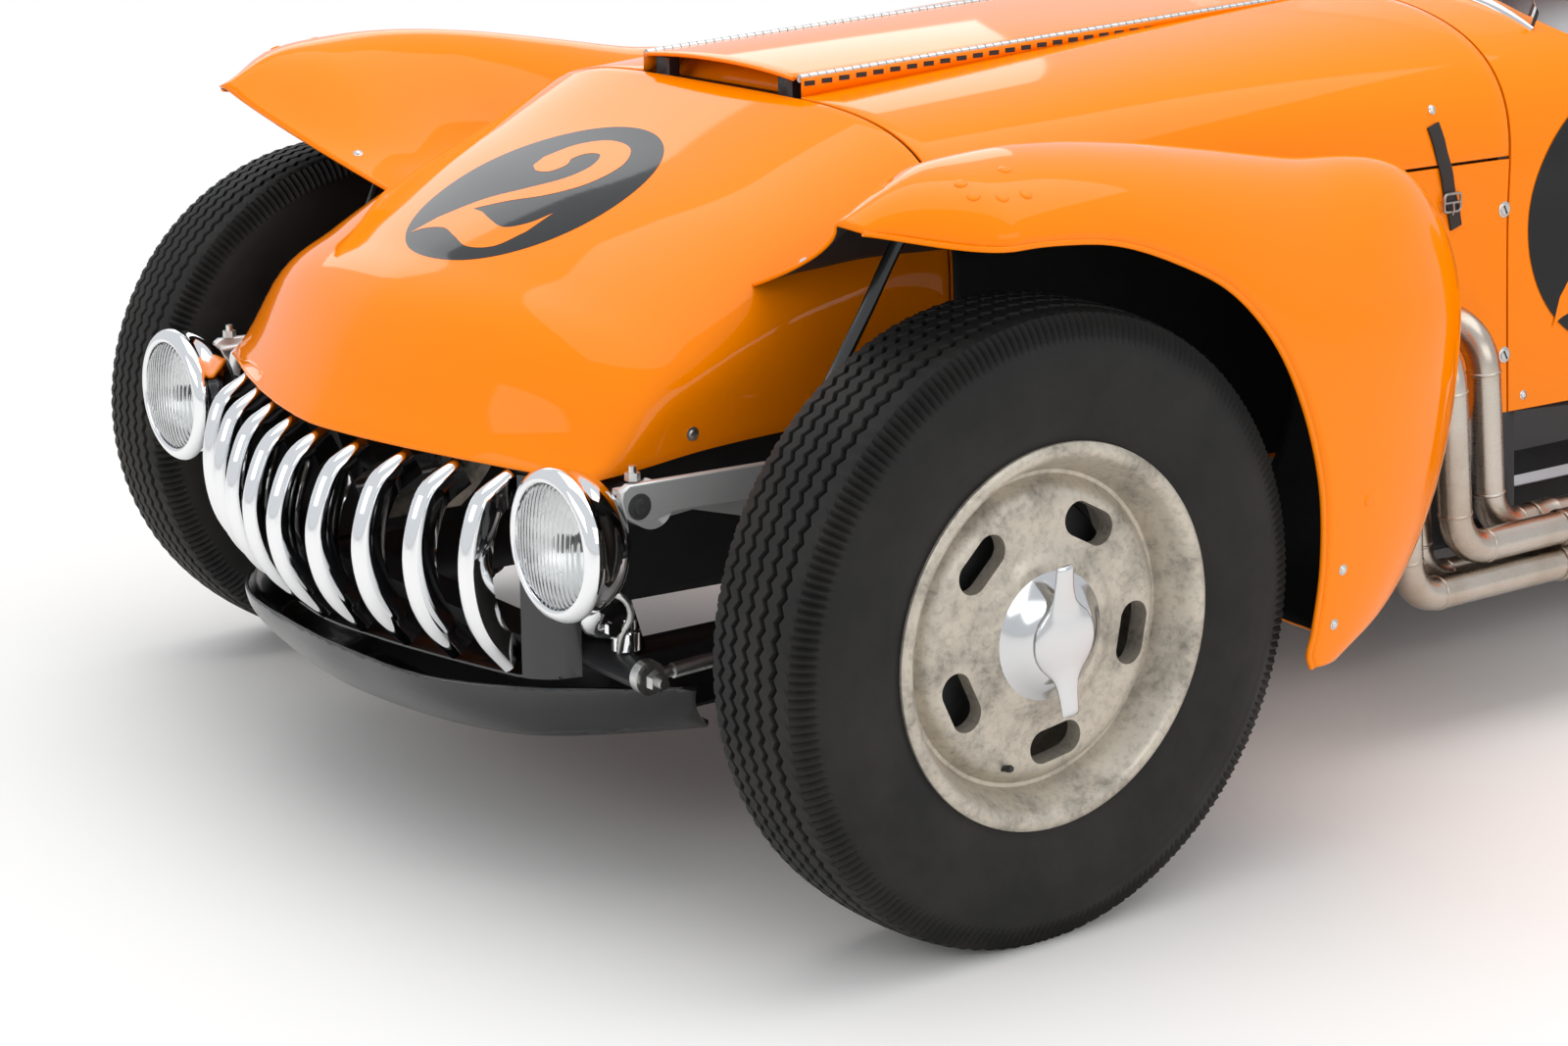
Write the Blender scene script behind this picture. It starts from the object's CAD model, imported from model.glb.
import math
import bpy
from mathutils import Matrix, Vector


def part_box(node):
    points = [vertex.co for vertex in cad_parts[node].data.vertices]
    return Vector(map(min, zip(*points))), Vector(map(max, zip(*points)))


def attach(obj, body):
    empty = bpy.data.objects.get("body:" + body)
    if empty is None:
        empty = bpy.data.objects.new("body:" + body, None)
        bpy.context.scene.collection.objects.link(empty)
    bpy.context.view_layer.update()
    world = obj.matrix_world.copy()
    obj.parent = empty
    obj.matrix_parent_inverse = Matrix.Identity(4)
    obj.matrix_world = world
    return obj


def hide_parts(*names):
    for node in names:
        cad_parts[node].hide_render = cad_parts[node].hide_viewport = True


bl_info = {
    "name": "Vintage sports racing car looks",
    "version": (1, 0, 0),
    "blender": (4, 5, 0),
    "location": "3D View > Sidebar > Racing car",
    "description": "Dresses the packed racing car with panels, wheels, trim and finishes",
    "category": "Object",
}

import bmesh
import bpy
from bpy.props import FloatProperty, FloatVectorProperty, IntProperty, PointerProperty
from mathutils import Matrix, Vector

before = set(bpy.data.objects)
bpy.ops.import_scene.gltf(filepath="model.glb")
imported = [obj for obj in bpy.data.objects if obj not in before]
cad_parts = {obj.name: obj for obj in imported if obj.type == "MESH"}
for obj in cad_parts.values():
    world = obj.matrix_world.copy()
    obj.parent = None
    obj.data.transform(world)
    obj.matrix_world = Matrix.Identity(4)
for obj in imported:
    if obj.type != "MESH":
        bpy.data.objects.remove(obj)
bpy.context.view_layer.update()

MM = 0.001
CAR = "car_body"
HOOD_LIDS = ("left_hood_lid", "right_hood_lid")
FRONT_AXLE = 1275
REAR_AXLE = -960
AXLE_HEIGHT = 360
HALF_TRACK = 746
NOSE_FRONT = 1627
COLLECTOR_FRONT = FRONT_AXLE - 1230
CORNERS = {
    "front_left": (FRONT_AXLE, 1),
    "front_right": (FRONT_AXLE, -1),
    "rear_left": (REAR_AXLE, 1),
    "rear_right": (REAR_AXLE, -1),
}


# ---- sizes and colours a user would change ---------------------------------------------------
class RacingCarPaint(bpy.types.PropertyGroup):
    body_colour: FloatVectorProperty(
        name="Body colour", description="Gloss paint of the body and fenders",
        subtype="COLOR", size=3, min=0, max=1, default=(1.0, 0.235, 0.0))
    roundel_colour: FloatVectorProperty(
        name="Roundel colour", description="Painted discs behind the racing number",
        subtype="COLOR", size=3, min=0, max=1, default=(0.017, 0.017, 0.018))
    paint_roughness: FloatProperty(
        name="Paint roughness", description="Roughness of the clear coat", min=0, max=1, default=0.05)
    magnesium_colour: FloatVectorProperty(
        name="Wheel colour", description="Aged cast magnesium",
        subtype="COLOR", size=3, min=0, max=1, default=(0.56, 0.505, 0.42))


class RacingCarSizes(bpy.types.PropertyGroup):
    tyre_radius: FloatProperty(
        name="Tyre radius", description="Over the tread", unit="LENGTH", default=0.367)
    tread_pitches: IntProperty(
        name="Tread pitches", description="Waves of the tread ribs around the tyre", min=40, max=260,
        default=116)
    rivet_radius: FloatProperty(
        name="Rivet radius", description="Painted rivet heads on the fenders", unit="LENGTH",
        default=0.0055)
    bar_width: FloatProperty(
        name="Grille bar width", description="Across one chrome bar", unit="LENGTH", default=0.024)


# ---- small helpers ---------------------------------------------------------------------------
def lerp(a, b, t):
    return a + (b - a) * t


def smooth_step(a, b, x):
    t = min(1.0, max(0.0, (x - a) / (b - a)))
    return t * t * (3 - 2 * t)


def metres(x, y, z):
    return Vector((x * MM, y * MM, z * MM))


def spline_at(points, t):
    """Smooth curve through evenly numbered points, read at t from 0 to 1."""
    last = len(points) - 1
    at = min(max(t, 0.0), 1.0) * last
    i = min(int(at), last - 1)
    f = at - i
    p1, p2 = Vector(points[i]), Vector(points[i + 1])
    p0 = Vector(points[i - 1]) if i > 0 else p1 * 2 - p2
    p3 = Vector(points[i + 2]) if i + 2 <= last else p2 * 2 - p1
    a = p1 * 2
    b = p2 - p0
    c = p0 * 2 - p1 * 5 + p2 * 4 - p3
    d = p1 * 3 - p0 - p2 * 3 + p3
    return (a + b * f + c * f * f + d * f * f * f) * 0.5


def mapped_grid(bm, along, across, place):
    """Grid whose corners are 0..1 both ways, laid onto a surface by place(u, v)."""
    made = bmesh.ops.create_grid(bm, x_segments=along, y_segments=across, size=1)
    for v in made["verts"]:
        v.co = place((v.co.x + 1) / 2, (v.co.y + 1) / 2)
    return made["verts"]


def face_away(bm, faces, inside):
    """Turn an open sheet so its faces look away from the point inside(face) gives."""
    total = 0.0
    for f in faces:
        f.normal_update()
        total += f.normal.dot(f.calc_center_median() - inside(f)) * f.calc_area()
    if total < 0:
        bmesh.ops.reverse_faces(bm, faces=faces)


def ring_frame(points, i, up):
    """Side and up directions of a path at one of its points."""
    ahead = points[min(i + 1, len(points) - 1)]
    behind = points[max(i - 1, 0)]
    tangent = (ahead - behind).normalized()
    side = tangent.cross(up)
    if side.length < 1e-4:
        side = tangent.cross(Vector((1, 0, 0)))
    side.normalize()
    return side, side.cross(tangent).normalized()


def sweep(bm, points, outline, up=Vector((0, 0, 1)), scales=None, capped=True, carried=False):
    """Closed outline of (side, up) pairs carried along a path, ring by ring."""
    points = [Vector(p) for p in points]
    first = bmesh.ops.create_circle(bm, segments=len(outline), radius=1, cap_ends=False)
    ring = first["verts"]
    edges = list({e for v in ring for e in v.link_edges})
    rings = []
    for i, point in enumerate(points):
        side, lift = ring_frame(points, i, up)
        if carried:
            up = lift
        scale = scales[i] if scales else 1.0
        if i > 0:
            made = bmesh.ops.extrude_edge_only(bm, edges=edges)["geom"]
            fresh = {g for g in made if isinstance(g, bmesh.types.BMVert)}
            edges = [g for g in made if isinstance(g, bmesh.types.BMEdge)
                     and all(v in fresh for v in g.verts)]
            ring = [next(e.other_vert(v) for e in v.link_edges if e.other_vert(v) in fresh) for v in ring]
        for v, (s, u) in zip(ring, outline):
            v.co = point + (side * s + lift * u) * scale
        rings.append(list(ring))
    if capped:
        bmesh.ops.contextual_create(bm, geom=rings[0])
        bmesh.ops.contextual_create(bm, geom=rings[-1])
    return rings


def round_outline(radius, segments):
    return [(radius * math.cos(2 * math.pi * i / segments), radius * math.sin(2 * math.pi * i / segments))
            for i in range(segments)]


def box_outline(width, height, corner, segments=3):
    """Rounded rectangle as (side, up) pairs."""
    points = []
    for cx, cy, start in ((1, 1, 0), (-1, 1, 90), (-1, -1, 180), (1, -1, 270)):
        for i in range(segments + 1):
            angle = math.radians(start + 90 * i / segments)
            points.append((cx * (width / 2 - corner) + corner * math.cos(angle),
                           cy * (height / 2 - corner) + corner * math.sin(angle)))
    return points


def turned(bm, outline, centre, axis, segments=48, closed=False):
    """Spin an outline of (radius, distance along the axis) about that axis."""
    axis = Vector(axis).normalized()
    side = axis.orthogonal().normalized()
    verts = [bmesh.ops.create_vert(bm, co=centre + side * r + axis * a)["vert"][0] for r, a in outline]
    pairs = list(zip(verts, verts[1:]))
    if closed:
        pairs.append((verts[-1], verts[0]))
    edges = [bmesh.ops.contextual_create(bm, geom=[a, b])["edges"][0] for a, b in pairs]
    bmesh.ops.spin(bm, geom=verts + edges, cent=centre, axis=axis, angle=2 * math.pi,
                   steps=segments, use_merge=True, use_duplicate=False)
    bmesh.ops.remove_doubles(bm, verts=bm.verts[:], dist=1e-6)


def lathe(bm, outline, centre, axis, segments=48, closed=False):
    """Turned form whose outline is given in millimetres."""
    turned(bm, [(r * MM, a * MM) for r, a in outline], centre, axis, segments, closed)


def add_box(bm, place, x, y, z):
    """Box of three sizes, laid down by a matrix."""
    made = bmesh.ops.create_cube(bm, size=1)
    bmesh.ops.transform(bm, matrix=place @ Matrix.Diagonal((x, y, z, 1)), verts=made["verts"])


def add_post(bm, place, segments, radius, depth, taper=1.0):
    """Capped post of flat sides along the Z axis of a matrix."""
    made = bmesh.ops.create_cone(bm, cap_ends=True, segments=segments, radius1=radius,
                                 radius2=radius * taper, depth=depth)
    bmesh.ops.transform(bm, matrix=place, verts=made["verts"])


def turned_to(direction):
    """Matrix whose Z axis points in a direction."""
    return Vector(direction).to_track_quat("Z", "Y").to_matrix().to_4x4()


def tube(bm, points, radius, segments=12, capped=True):
    return sweep(bm, points, round_outline(radius, segments), capped=capped, carried=True)


def make_object(name, bm):
    mesh = bpy.data.meshes.new(name)
    bm.to_mesh(mesh)
    bm.free()
    obj = bpy.data.objects.new(name, mesh)
    bpy.context.scene.collection.objects.link(obj)
    return obj


def shade(obj, angle):
    mesh = obj.data
    for p in mesh.polygons:
        p.use_smooth = True
    mesh.set_sharp_from_angle(angle=math.radians(angle))


def add_piece(name, bm, body, material, stands_for=(), angle=38, tidy=True):
    """Turn a finished bmesh into a piece of the car."""
    if tidy:
        bmesh.ops.remove_doubles(bm, verts=bm.verts[:], dist=1e-6)
        bmesh.ops.recalc_face_normals(bm, faces=bm.faces[:])
    obj = make_object(name, bm)
    shade(obj, angle)
    obj.data.materials.append(material)
    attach(obj, body)
    if stands_for:
        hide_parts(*stands_for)
    return obj


def bake_modifiers(obj):
    """Keep what the modifiers make and drop them."""
    graph = bpy.context.evaluated_depsgraph_get()
    graph.update()
    mesh = bpy.data.meshes.new_from_object(obj.evaluated_get(graph))
    old = obj.data
    obj.modifiers.clear()
    obj.data = mesh
    mesh.name = obj.name
    bpy.data.meshes.remove(old)


def bevel_edges(obj, width, segments=2, angle=40):
    mod = obj.modifiers.new("soft_edges", "BEVEL")
    mod.width = width
    mod.segments = segments
    mod.limit_method = "ANGLE"
    mod.angle_limit = math.radians(angle)
    mod.use_clamp_overlap = True
    mod.harden_normals = False


def thicken(obj, thickness, offset=-1):
    mod = obj.modifiers.new("wall", "SOLIDIFY")
    mod.thickness = thickness
    mod.offset = offset
    mod.use_even_offset = False


def node_copy(node):
    """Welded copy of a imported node's mesh, to be finished as a piece."""
    bm = bmesh.new()
    bm.from_mesh(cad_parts[node].data)
    bmesh.ops.remove_doubles(bm, verts=bm.verts[:], dist=2e-5)
    bmesh.ops.dissolve_degenerate(bm, edges=bm.edges[:], dist=1e-6)
    for key in list(bm.loops.layers.float_vector.keys()):
        bm.loops.layers.float_vector.remove(bm.loops.layers.float_vector[key])
    return bm


def copy_piece(name, node, body, material, angle=32, bevel=0.0):
    """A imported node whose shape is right, welded, softened at its edges and finished."""
    bm = node_copy(node)
    obj = add_piece(name, bm, body, material, (node,), angle, tidy=False)
    if bevel:
        bevel_edges(obj, bevel, 2, 45)
    return obj


def mirrored_mesh(obj, name, body, stands_for=()):
    """The other side's twin of a finished piece, mirrored in its mesh."""
    bm = bmesh.new()
    bm.from_mesh(obj.data)
    bmesh.ops.scale(bm, vec=Vector((1, -1, 1)), verts=bm.verts[:])
    bmesh.ops.reverse_faces(bm, faces=bm.faces[:])
    twin = make_object(name, bm)
    for m in obj.data.materials:
        twin.data.materials.append(m)
    for mod in obj.modifiers:
        fresh = twin.modifiers.new(mod.name, mod.type)
        for key in ("thickness", "offset", "use_even_offset", "width", "segments", "limit_method",
                    "angle_limit", "use_clamp_overlap", "levels", "render_levels"):
            if hasattr(mod, key):
                setattr(fresh, key, getattr(mod, key))
    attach(twin, body)
    if stands_for:
        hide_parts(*stands_for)
    return twin


def add_pair(name, bm, material, stands_for=(), angle=38, bodies=(CAR, CAR), wall=0.0):
    """A left piece and its mirrored twin; an open sheet gets a wall."""
    left = add_piece(name + "_left", bm, bodies[0], material, stands_for, angle, tidy=not wall)
    if wall:
        thicken(left, wall)
    mirrored_mesh(left, name + "_right", bodies[1], stands_for)


# ---- node groups -----------------------------------------------------------------------------
GROUPS = {}
FINISHES = {}


def new_group(name, inputs, outputs):
    group = bpy.data.node_groups.new(name, "ShaderNodeTree")
    for label, kind, value in inputs:
        socket = group.interface.new_socket(name=label, in_out="INPUT", socket_type="NodeSocket" + kind)
        if value is not None:
            socket.default_value = value
    for label, kind in outputs:
        group.interface.new_socket(name=label, in_out="OUTPUT", socket_type="NodeSocket" + kind)
    source = group.nodes.new("NodeGroupInput")
    target = group.nodes.new("NodeGroupOutput")
    source.location = (-900, 0)
    target.location = (900, 0)
    return group, source, target


class Tree:
    """Short ways to add and join nodes in one tree."""

    def __init__(self, tree):
        self.tree = tree
        self.column = -700

    def add(self, kind, **values):
        node = self.tree.nodes.new(kind)
        node.location = (self.column, -len(self.tree.nodes) * 60 % 700)
        self.column += 40
        for key, value in values.items():
            setattr(node, key, value)
        return node

    def join(self, source, target):
        self.tree.links.new(source, target)

    def put(self, socket, value):
        if isinstance(value, bpy.types.NodeSocket):
            self.join(value, socket)
        else:
            socket.default_value = value

    def math(self, operation, a, b=0.0, clamp=False):
        node = self.add("ShaderNodeMath", operation=operation, use_clamp=clamp)
        self.put(node.inputs[0], a)
        self.put(node.inputs[1], b)
        return node.outputs[0]

    def mix(self, share, a, b, kind="MIX"):
        node = self.add("ShaderNodeMix", data_type="RGBA", blend_type=kind)
        self.put(node.inputs[0], share)
        self.put(node.inputs[6], a)
        self.put(node.inputs[7], b)
        return node.outputs[2]

    def noise(self, vector, scale, detail=3.0, rough=0.55):
        node = self.add("ShaderNodeTexNoise")
        self.join(vector, node.inputs["Vector"])
        self.put(node.inputs["Scale"], scale)
        node.inputs["Detail"].default_value = detail
        node.inputs["Roughness"].default_value = rough
        return node.outputs["Fac"]

    def ramp(self, value, low, high):
        node = self.add("ShaderNodeMapRange")
        node.interpolation_type = "SMOOTHSTEP"
        self.put(node.inputs["Value"], value)
        self.put(node.inputs["From Min"], low)
        self.put(node.inputs["From Max"], high)
        return node.outputs["Result"]


def surface_variation_group():
    """Slow and fine changes of shade, roughness and height over a finish."""
    group, source, target = new_group("surface_variation", [
        ("Vector", "Vector", None), ("Colour", "Color", (0.5, 0.5, 0.5, 1)),
        ("Dark Colour", "Color", (0.3, 0.3, 0.3, 1)),
        ("Amount", "Float", 0.2), ("Scale", "Float", 8.0), ("Fine Scale", "Float", 300.0),
        ("Roughness", "Float", 0.4), ("Roughness Spread", "Float", 0.1)],
        [("Colour", "Color"), ("Roughness", "Float"), ("Height", "Float")])
    t = Tree(group)
    slow = t.noise(source.outputs["Vector"], source.outputs["Scale"], 4)
    fine = t.noise(source.outputs["Vector"], source.outputs["Fine Scale"], 2)
    share = t.math("MULTIPLY", t.ramp(slow, 0.35, 0.75), source.outputs["Amount"])
    t.join(t.mix(share, source.outputs["Colour"], source.outputs["Dark Colour"]), target.inputs["Colour"])
    both = t.math("ADD", t.math("MULTIPLY", slow, 0.6), t.math("MULTIPLY", fine, 0.4))
    centred = t.math("SUBTRACT", both, 0.5)
    change = t.math("MULTIPLY", centred, source.outputs["Roughness Spread"])
    t.join(t.math("ADD", source.outputs["Roughness"], change, True), target.inputs["Roughness"])
    t.join(fine, target.inputs["Height"])
    return group


def low_dust_group():
    """Pale road dust that settles on the lower parts."""
    group, source, target = new_group("low_dust", [
        ("Vector", "Vector", None), ("Colour", "Color", (0.5, 0.5, 0.5, 1)),
        ("Dust Colour", "Color", (0.35, 0.31, 0.26, 1)),
        ("Top", "Float", 0.5), ("Amount", "Float", 0.3), ("Scale", "Float", 14.0)],
        [("Colour", "Color"), ("Mask", "Float")])
    t = Tree(group)
    split = t.add("ShaderNodeSeparateXYZ")
    t.join(source.outputs["Vector"], split.inputs[0])
    height = t.math("SUBTRACT", 1.0, t.math("DIVIDE", split.outputs["Z"], source.outputs["Top"]), True)
    patch = t.ramp(t.noise(source.outputs["Vector"], source.outputs["Scale"], 5, 0.6), 0.3, 0.75)
    mask = t.math("MULTIPLY", t.math("MULTIPLY", height, patch), source.outputs["Amount"], True)
    t.join(t.mix(mask, source.outputs["Colour"], source.outputs["Dust Colour"]), target.inputs["Colour"])
    t.join(mask, target.inputs["Mask"])
    return group


def cast_grain_group():
    """Fine pits and blotches of a sand casting."""
    group, source, target = new_group("cast_grain", [
        ("Vector", "Vector", None), ("Colour", "Color", (0.4, 0.36, 0.3, 1)),
        ("Stain", "Color", (0.16, 0.13, 0.1, 1)),
        ("Stain Amount", "Float", 0.5), ("Pit Scale", "Float", 420.0)],
        [("Colour", "Color"), ("Roughness", "Float"), ("Height", "Float")])
    t = Tree(group)
    cells = t.add("ShaderNodeTexVoronoi")
    t.join(source.outputs["Vector"], cells.inputs["Vector"])
    t.join(source.outputs["Pit Scale"], cells.inputs["Scale"])
    blot = t.ramp(t.noise(source.outputs["Vector"], 16.0, 6, 0.65), 0.42, 0.72)
    speck = t.ramp(t.noise(source.outputs["Vector"], 130.0, 3, 0.6), 0.45, 0.7)
    share = t.math("MULTIPLY",
                   t.math("ADD", t.math("MULTIPLY", blot, 0.75), t.math("MULTIPLY", speck, 0.35), True),
                   source.outputs["Stain Amount"])
    t.join(t.mix(share, source.outputs["Colour"], source.outputs["Stain"]), target.inputs["Colour"])
    t.join(t.math("ADD", 0.38, t.math("MULTIPLY", blot, 0.22)), target.inputs["Roughness"])
    t.join(cells.outputs["Distance"], target.inputs["Height"])
    return group


def brushed_group():
    """Long fine scratches along one axis."""
    group, source, target = new_group("brushed_grain", [
        ("Vector", "Vector", None), ("Stretch", "Vector", (1.0, 1.0, 40.0)), ("Roughness", "Float", 0.3),
        ("Spread", "Float", 0.15)],
        [("Roughness", "Float"), ("Height", "Float")])
    t = Tree(group)
    scaled = t.add("ShaderNodeVectorMath", operation="MULTIPLY")
    t.join(source.outputs["Vector"], scaled.inputs[0])
    t.join(source.outputs["Stretch"], scaled.inputs[1])
    streak = t.noise(scaled.outputs[0], 30.0, 4, 0.6)
    change = t.math("MULTIPLY", t.math("SUBTRACT", streak, 0.5), source.outputs["Spread"])
    t.join(t.math("ADD", source.outputs["Roughness"], change, True), target.inputs["Roughness"])
    t.join(streak, target.inputs["Height"])
    return group


def leather_group():
    """Creased cells of tanned hide."""
    group, source, target = new_group("leather_grain", [
        ("Vector", "Vector", None), ("Colour", "Color", (0.03, 0.026, 0.024, 1)),
        ("Crease Colour", "Color", (0.012, 0.011, 0.01, 1)),
        ("Cell Scale", "Float", 320.0)],
        [("Colour", "Color"), ("Roughness", "Float"), ("Height", "Float")])
    t = Tree(group)
    cells = t.add("ShaderNodeTexVoronoi", feature="DISTANCE_TO_EDGE")
    t.join(source.outputs["Vector"], cells.inputs["Vector"])
    t.join(source.outputs["Cell Scale"], cells.inputs["Scale"])
    crease = t.ramp(cells.outputs["Distance"], 0.0, 0.12)
    t.join(t.mix(crease, source.outputs["Crease Colour"], source.outputs["Colour"]),
           target.inputs["Colour"])
    worn = t.noise(source.outputs["Vector"], 9.0, 4)
    t.join(t.math("ADD", 0.36, t.math("MULTIPLY", worn, 0.22)), target.inputs["Roughness"])
    t.join(crease, target.inputs["Height"])
    return group


def build_groups():
    GROUPS["variation"] = surface_variation_group()
    GROUPS["dust"] = low_dust_group()
    GROUPS["cast"] = cast_grain_group()
    GROUPS["brushed"] = brushed_group()
    GROUPS["leather"] = leather_group()


class Finish:
    """One material under construction: a Principled shader with helpers round it."""

    def __init__(self, name, **constants):
        self.material = bpy.data.materials.new(name)
        self.material.use_nodes = True
        tree = self.material.node_tree
        tree.nodes.clear()
        self.t = Tree(tree)
        self.out = tree.nodes.new("ShaderNodeOutputMaterial")
        self.out.location = (700, 0)
        self.shader = tree.nodes.new("ShaderNodeBsdfPrincipled")
        self.shader.location = (400, 0)
        tree.links.new(self.shader.outputs[0], self.out.inputs["Surface"])
        self.coords = tree.nodes.new("ShaderNodeTexCoord")
        self.coords.location = (-1000, 0)
        for key, value in constants.items():
            self.shader.inputs[key.replace("_", " ")].default_value = value
        FINISHES[name] = self.material

    @property
    def place(self):
        return self.coords.outputs["Object"]

    def group(self, key, **values):
        node = self.t.add("ShaderNodeGroup")
        node.node_tree = GROUPS[key]
        node.label = key
        self.t.join(self.place, node.inputs["Vector"])
        for name, value in values.items():
            self.t.put(node.inputs[name.replace("_", " ")], value)
        return node

    def feed(self, socket, value):
        self.t.join(value, self.shader.inputs[socket])

    def bump(self, height, distance, strength=1.0, below=None):
        node = self.t.add("ShaderNodeBump")
        node.inputs["Distance"].default_value = distance
        node.inputs["Strength"].default_value = strength
        self.t.join(height, node.inputs["Height"])
        if below is not None:
            self.t.join(below, node.inputs["Normal"])
        self.feed("Normal", node.outputs[0])
        return node.outputs[0]


def rgba(colour):
    return (*colour[:3], 1.0)


def shade_of(colour, share):
    return (colour[0] * share, colour[1] * share, colour[2] * share, 1.0)


def plain_finish(name, colour, roughness, metallic=0.0, spread=0.1, amount=0.25, scale=9.0, fine=260.0,
                 height=0.00005, dark=0.55, **constants):
    f = Finish(name, Metallic=metallic, **constants)
    v = f.group("variation", Colour=rgba(colour), Dark_Colour=shade_of(colour, dark), Amount=amount,
                Scale=scale,
                Fine_Scale=fine, Roughness=roughness, Roughness_Spread=spread)
    f.feed("Base Color", v.outputs["Colour"])
    f.feed("Roughness", v.outputs["Roughness"])
    f.bump(v.outputs["Height"], height, 0.6)
    return f


def gloss_paint(name, colour, roughness):
    f = plain_finish(name, colour, 0.5, spread=0.04, amount=0.10, scale=2.2, fine=900.0, height=0.00001,
                     dark=0.86,
                     Specular_IOR_Level=0.0, Coat_Weight=1.0, Coat_Roughness=roughness, Coat_IOR=1.28)
    return f


def build_finishes():
    paint = bpy.context.scene.racing_paint
    gloss_paint("orange_gloss", paint.body_colour, paint.paint_roughness)
    gloss_paint("roundel_black", paint.roundel_colour, paint.paint_roughness)
    plain_finish("black_enamel", (0.012, 0.012, 0.013), 0.24, spread=0.1, amount=0.3, fine=500,
                 height=0.00002,
                 Coat_Weight=0.6, Coat_Roughness=0.08)
    plain_finish("black_satin", (0.016, 0.016, 0.017), 0.42, spread=0.16, amount=0.4, height=0.00008)
    plain_finish("engine_bay_black", (0.020, 0.020, 0.021), 0.6, spread=0.2, amount=0.5, scale=20,
                 height=0.0002)
    plain_finish("wheel_arch_black", (0.012, 0.012, 0.012), 0.75, spread=0.2, amount=0.5, scale=16,
                 fine=500, height=0.0006)
    plain_finish("polished_chrome", (0.86, 0.87, 0.88), 0.045, metallic=1.0, spread=0.04, amount=0.06,
                 scale=5,
                 fine=700, height=0.000003, dark=0.85)
    plain_finish("polished_aluminium", (0.66, 0.665, 0.67), 0.13, metallic=1.0, spread=0.1, amount=0.2,
                 scale=12,
                 fine=800, height=0.00001, dark=0.75)
    plain_finish("lamp_silver", (0.93, 0.93, 0.91), 0.3, metallic=0.45, spread=0.08, amount=0.08, scale=20,
                 fine=600, height=0.000005, dark=0.9)
    plain_finish("arm_alloy", (0.74, 0.74, 0.73), 0.36, metallic=0.55, spread=0.12, amount=0.25, scale=14,
                 fine=700,
                 height=0.00002, dark=0.75)
    plain_finish("bright_zinc", (0.66, 0.66, 0.64), 0.3, metallic=1.0, spread=0.2, amount=0.4, scale=60,
                 fine=900,
                 height=0.00002)
    plain_finish("machined_steel", (0.40, 0.39, 0.37), 0.34, metallic=1.0, spread=0.25, amount=0.5,
                 scale=24,
                 fine=700, height=0.00004)
    plain_finish("dark_iron", (0.10, 0.10, 0.10), 0.55, metallic=0.6, spread=0.25, amount=0.6, scale=22,
                 fine=420,
                 height=0.0003)
    plain_finish("aluminium_sheet", (0.62, 0.63, 0.64), 0.36, metallic=1.0, spread=0.2, amount=0.3, scale=7,
                 fine=500,
                 height=0.00004)
    build_tyre_rubber()
    build_magnesium()
    build_exhaust_steel()
    build_brushed_axle()
    build_leather_and_wood()
    build_glass()
    build_dials()


def build_tyre_rubber():
    f = Finish("tyre_rubber", Specular_IOR_Level=0.24)
    v = f.group("variation", Colour=(0.0105, 0.0103, 0.0098, 1), Dark_Colour=(0.006, 0.006, 0.0058, 1),
                Amount=0.5,
                Scale=7.0, Fine_Scale=420.0, Roughness=0.62, Roughness_Spread=0.28)
    d = f.group("dust", Colour=v.outputs["Colour"], Dust_Colour=(0.045, 0.037, 0.030, 1), Top=1.3,
                Amount=0.4,
                Scale=9.0)
    f.feed("Base Color", d.outputs["Colour"])
    f.feed("Roughness", v.outputs["Roughness"])
    f.bump(v.outputs["Height"], 0.00025, 0.7)


def build_magnesium():
    colour = bpy.context.scene.racing_paint.magnesium_colour
    f = Finish("aged_magnesium", Metallic=0.5)
    c = f.group("cast", Colour=rgba(colour), Stain=shade_of(colour, 0.34), Stain_Amount=0.85,
                Pit_Scale=520.0)
    f.feed("Base Color", c.outputs["Colour"])
    f.feed("Roughness", c.outputs["Roughness"])
    f.bump(c.outputs["Height"], 0.00022, 0.5)


def build_exhaust_steel():
    f = Finish("exhaust_stainless", Metallic=1.0)
    b = f.group("brushed", Stretch=(1.0, 1.0, 26.0), Roughness=0.3, Spread=0.25)
    v = f.group("variation", Colour=(0.55, 0.50, 0.44, 1), Dark_Colour=(0.36, 0.27, 0.19, 1), Amount=0.7,
                Scale=9.0,
                Fine_Scale=240.0, Roughness=0.3, Roughness_Spread=0.1)
    f.feed("Base Color", v.outputs["Colour"])
    f.feed("Roughness", b.outputs["Roughness"])
    f.bump(b.outputs["Height"], 0.00004, 0.5)


def build_brushed_axle():
    f = Finish("brushed_arm", Metallic=0.6)
    b = f.group("brushed", Stretch=(3.0, 1.0, 30.0), Roughness=0.26, Spread=0.3)
    v = f.group("variation", Colour=(0.66, 0.66, 0.65, 1), Dark_Colour=(0.42, 0.41, 0.40, 1), Amount=0.4,
                Scale=18.0,
                Fine_Scale=300.0, Roughness=0.3, Roughness_Spread=0.1)
    f.feed("Base Color", v.outputs["Colour"])
    f.feed("Roughness", b.outputs["Roughness"])
    f.bump(b.outputs["Height"], 0.00003, 0.5)


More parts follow.
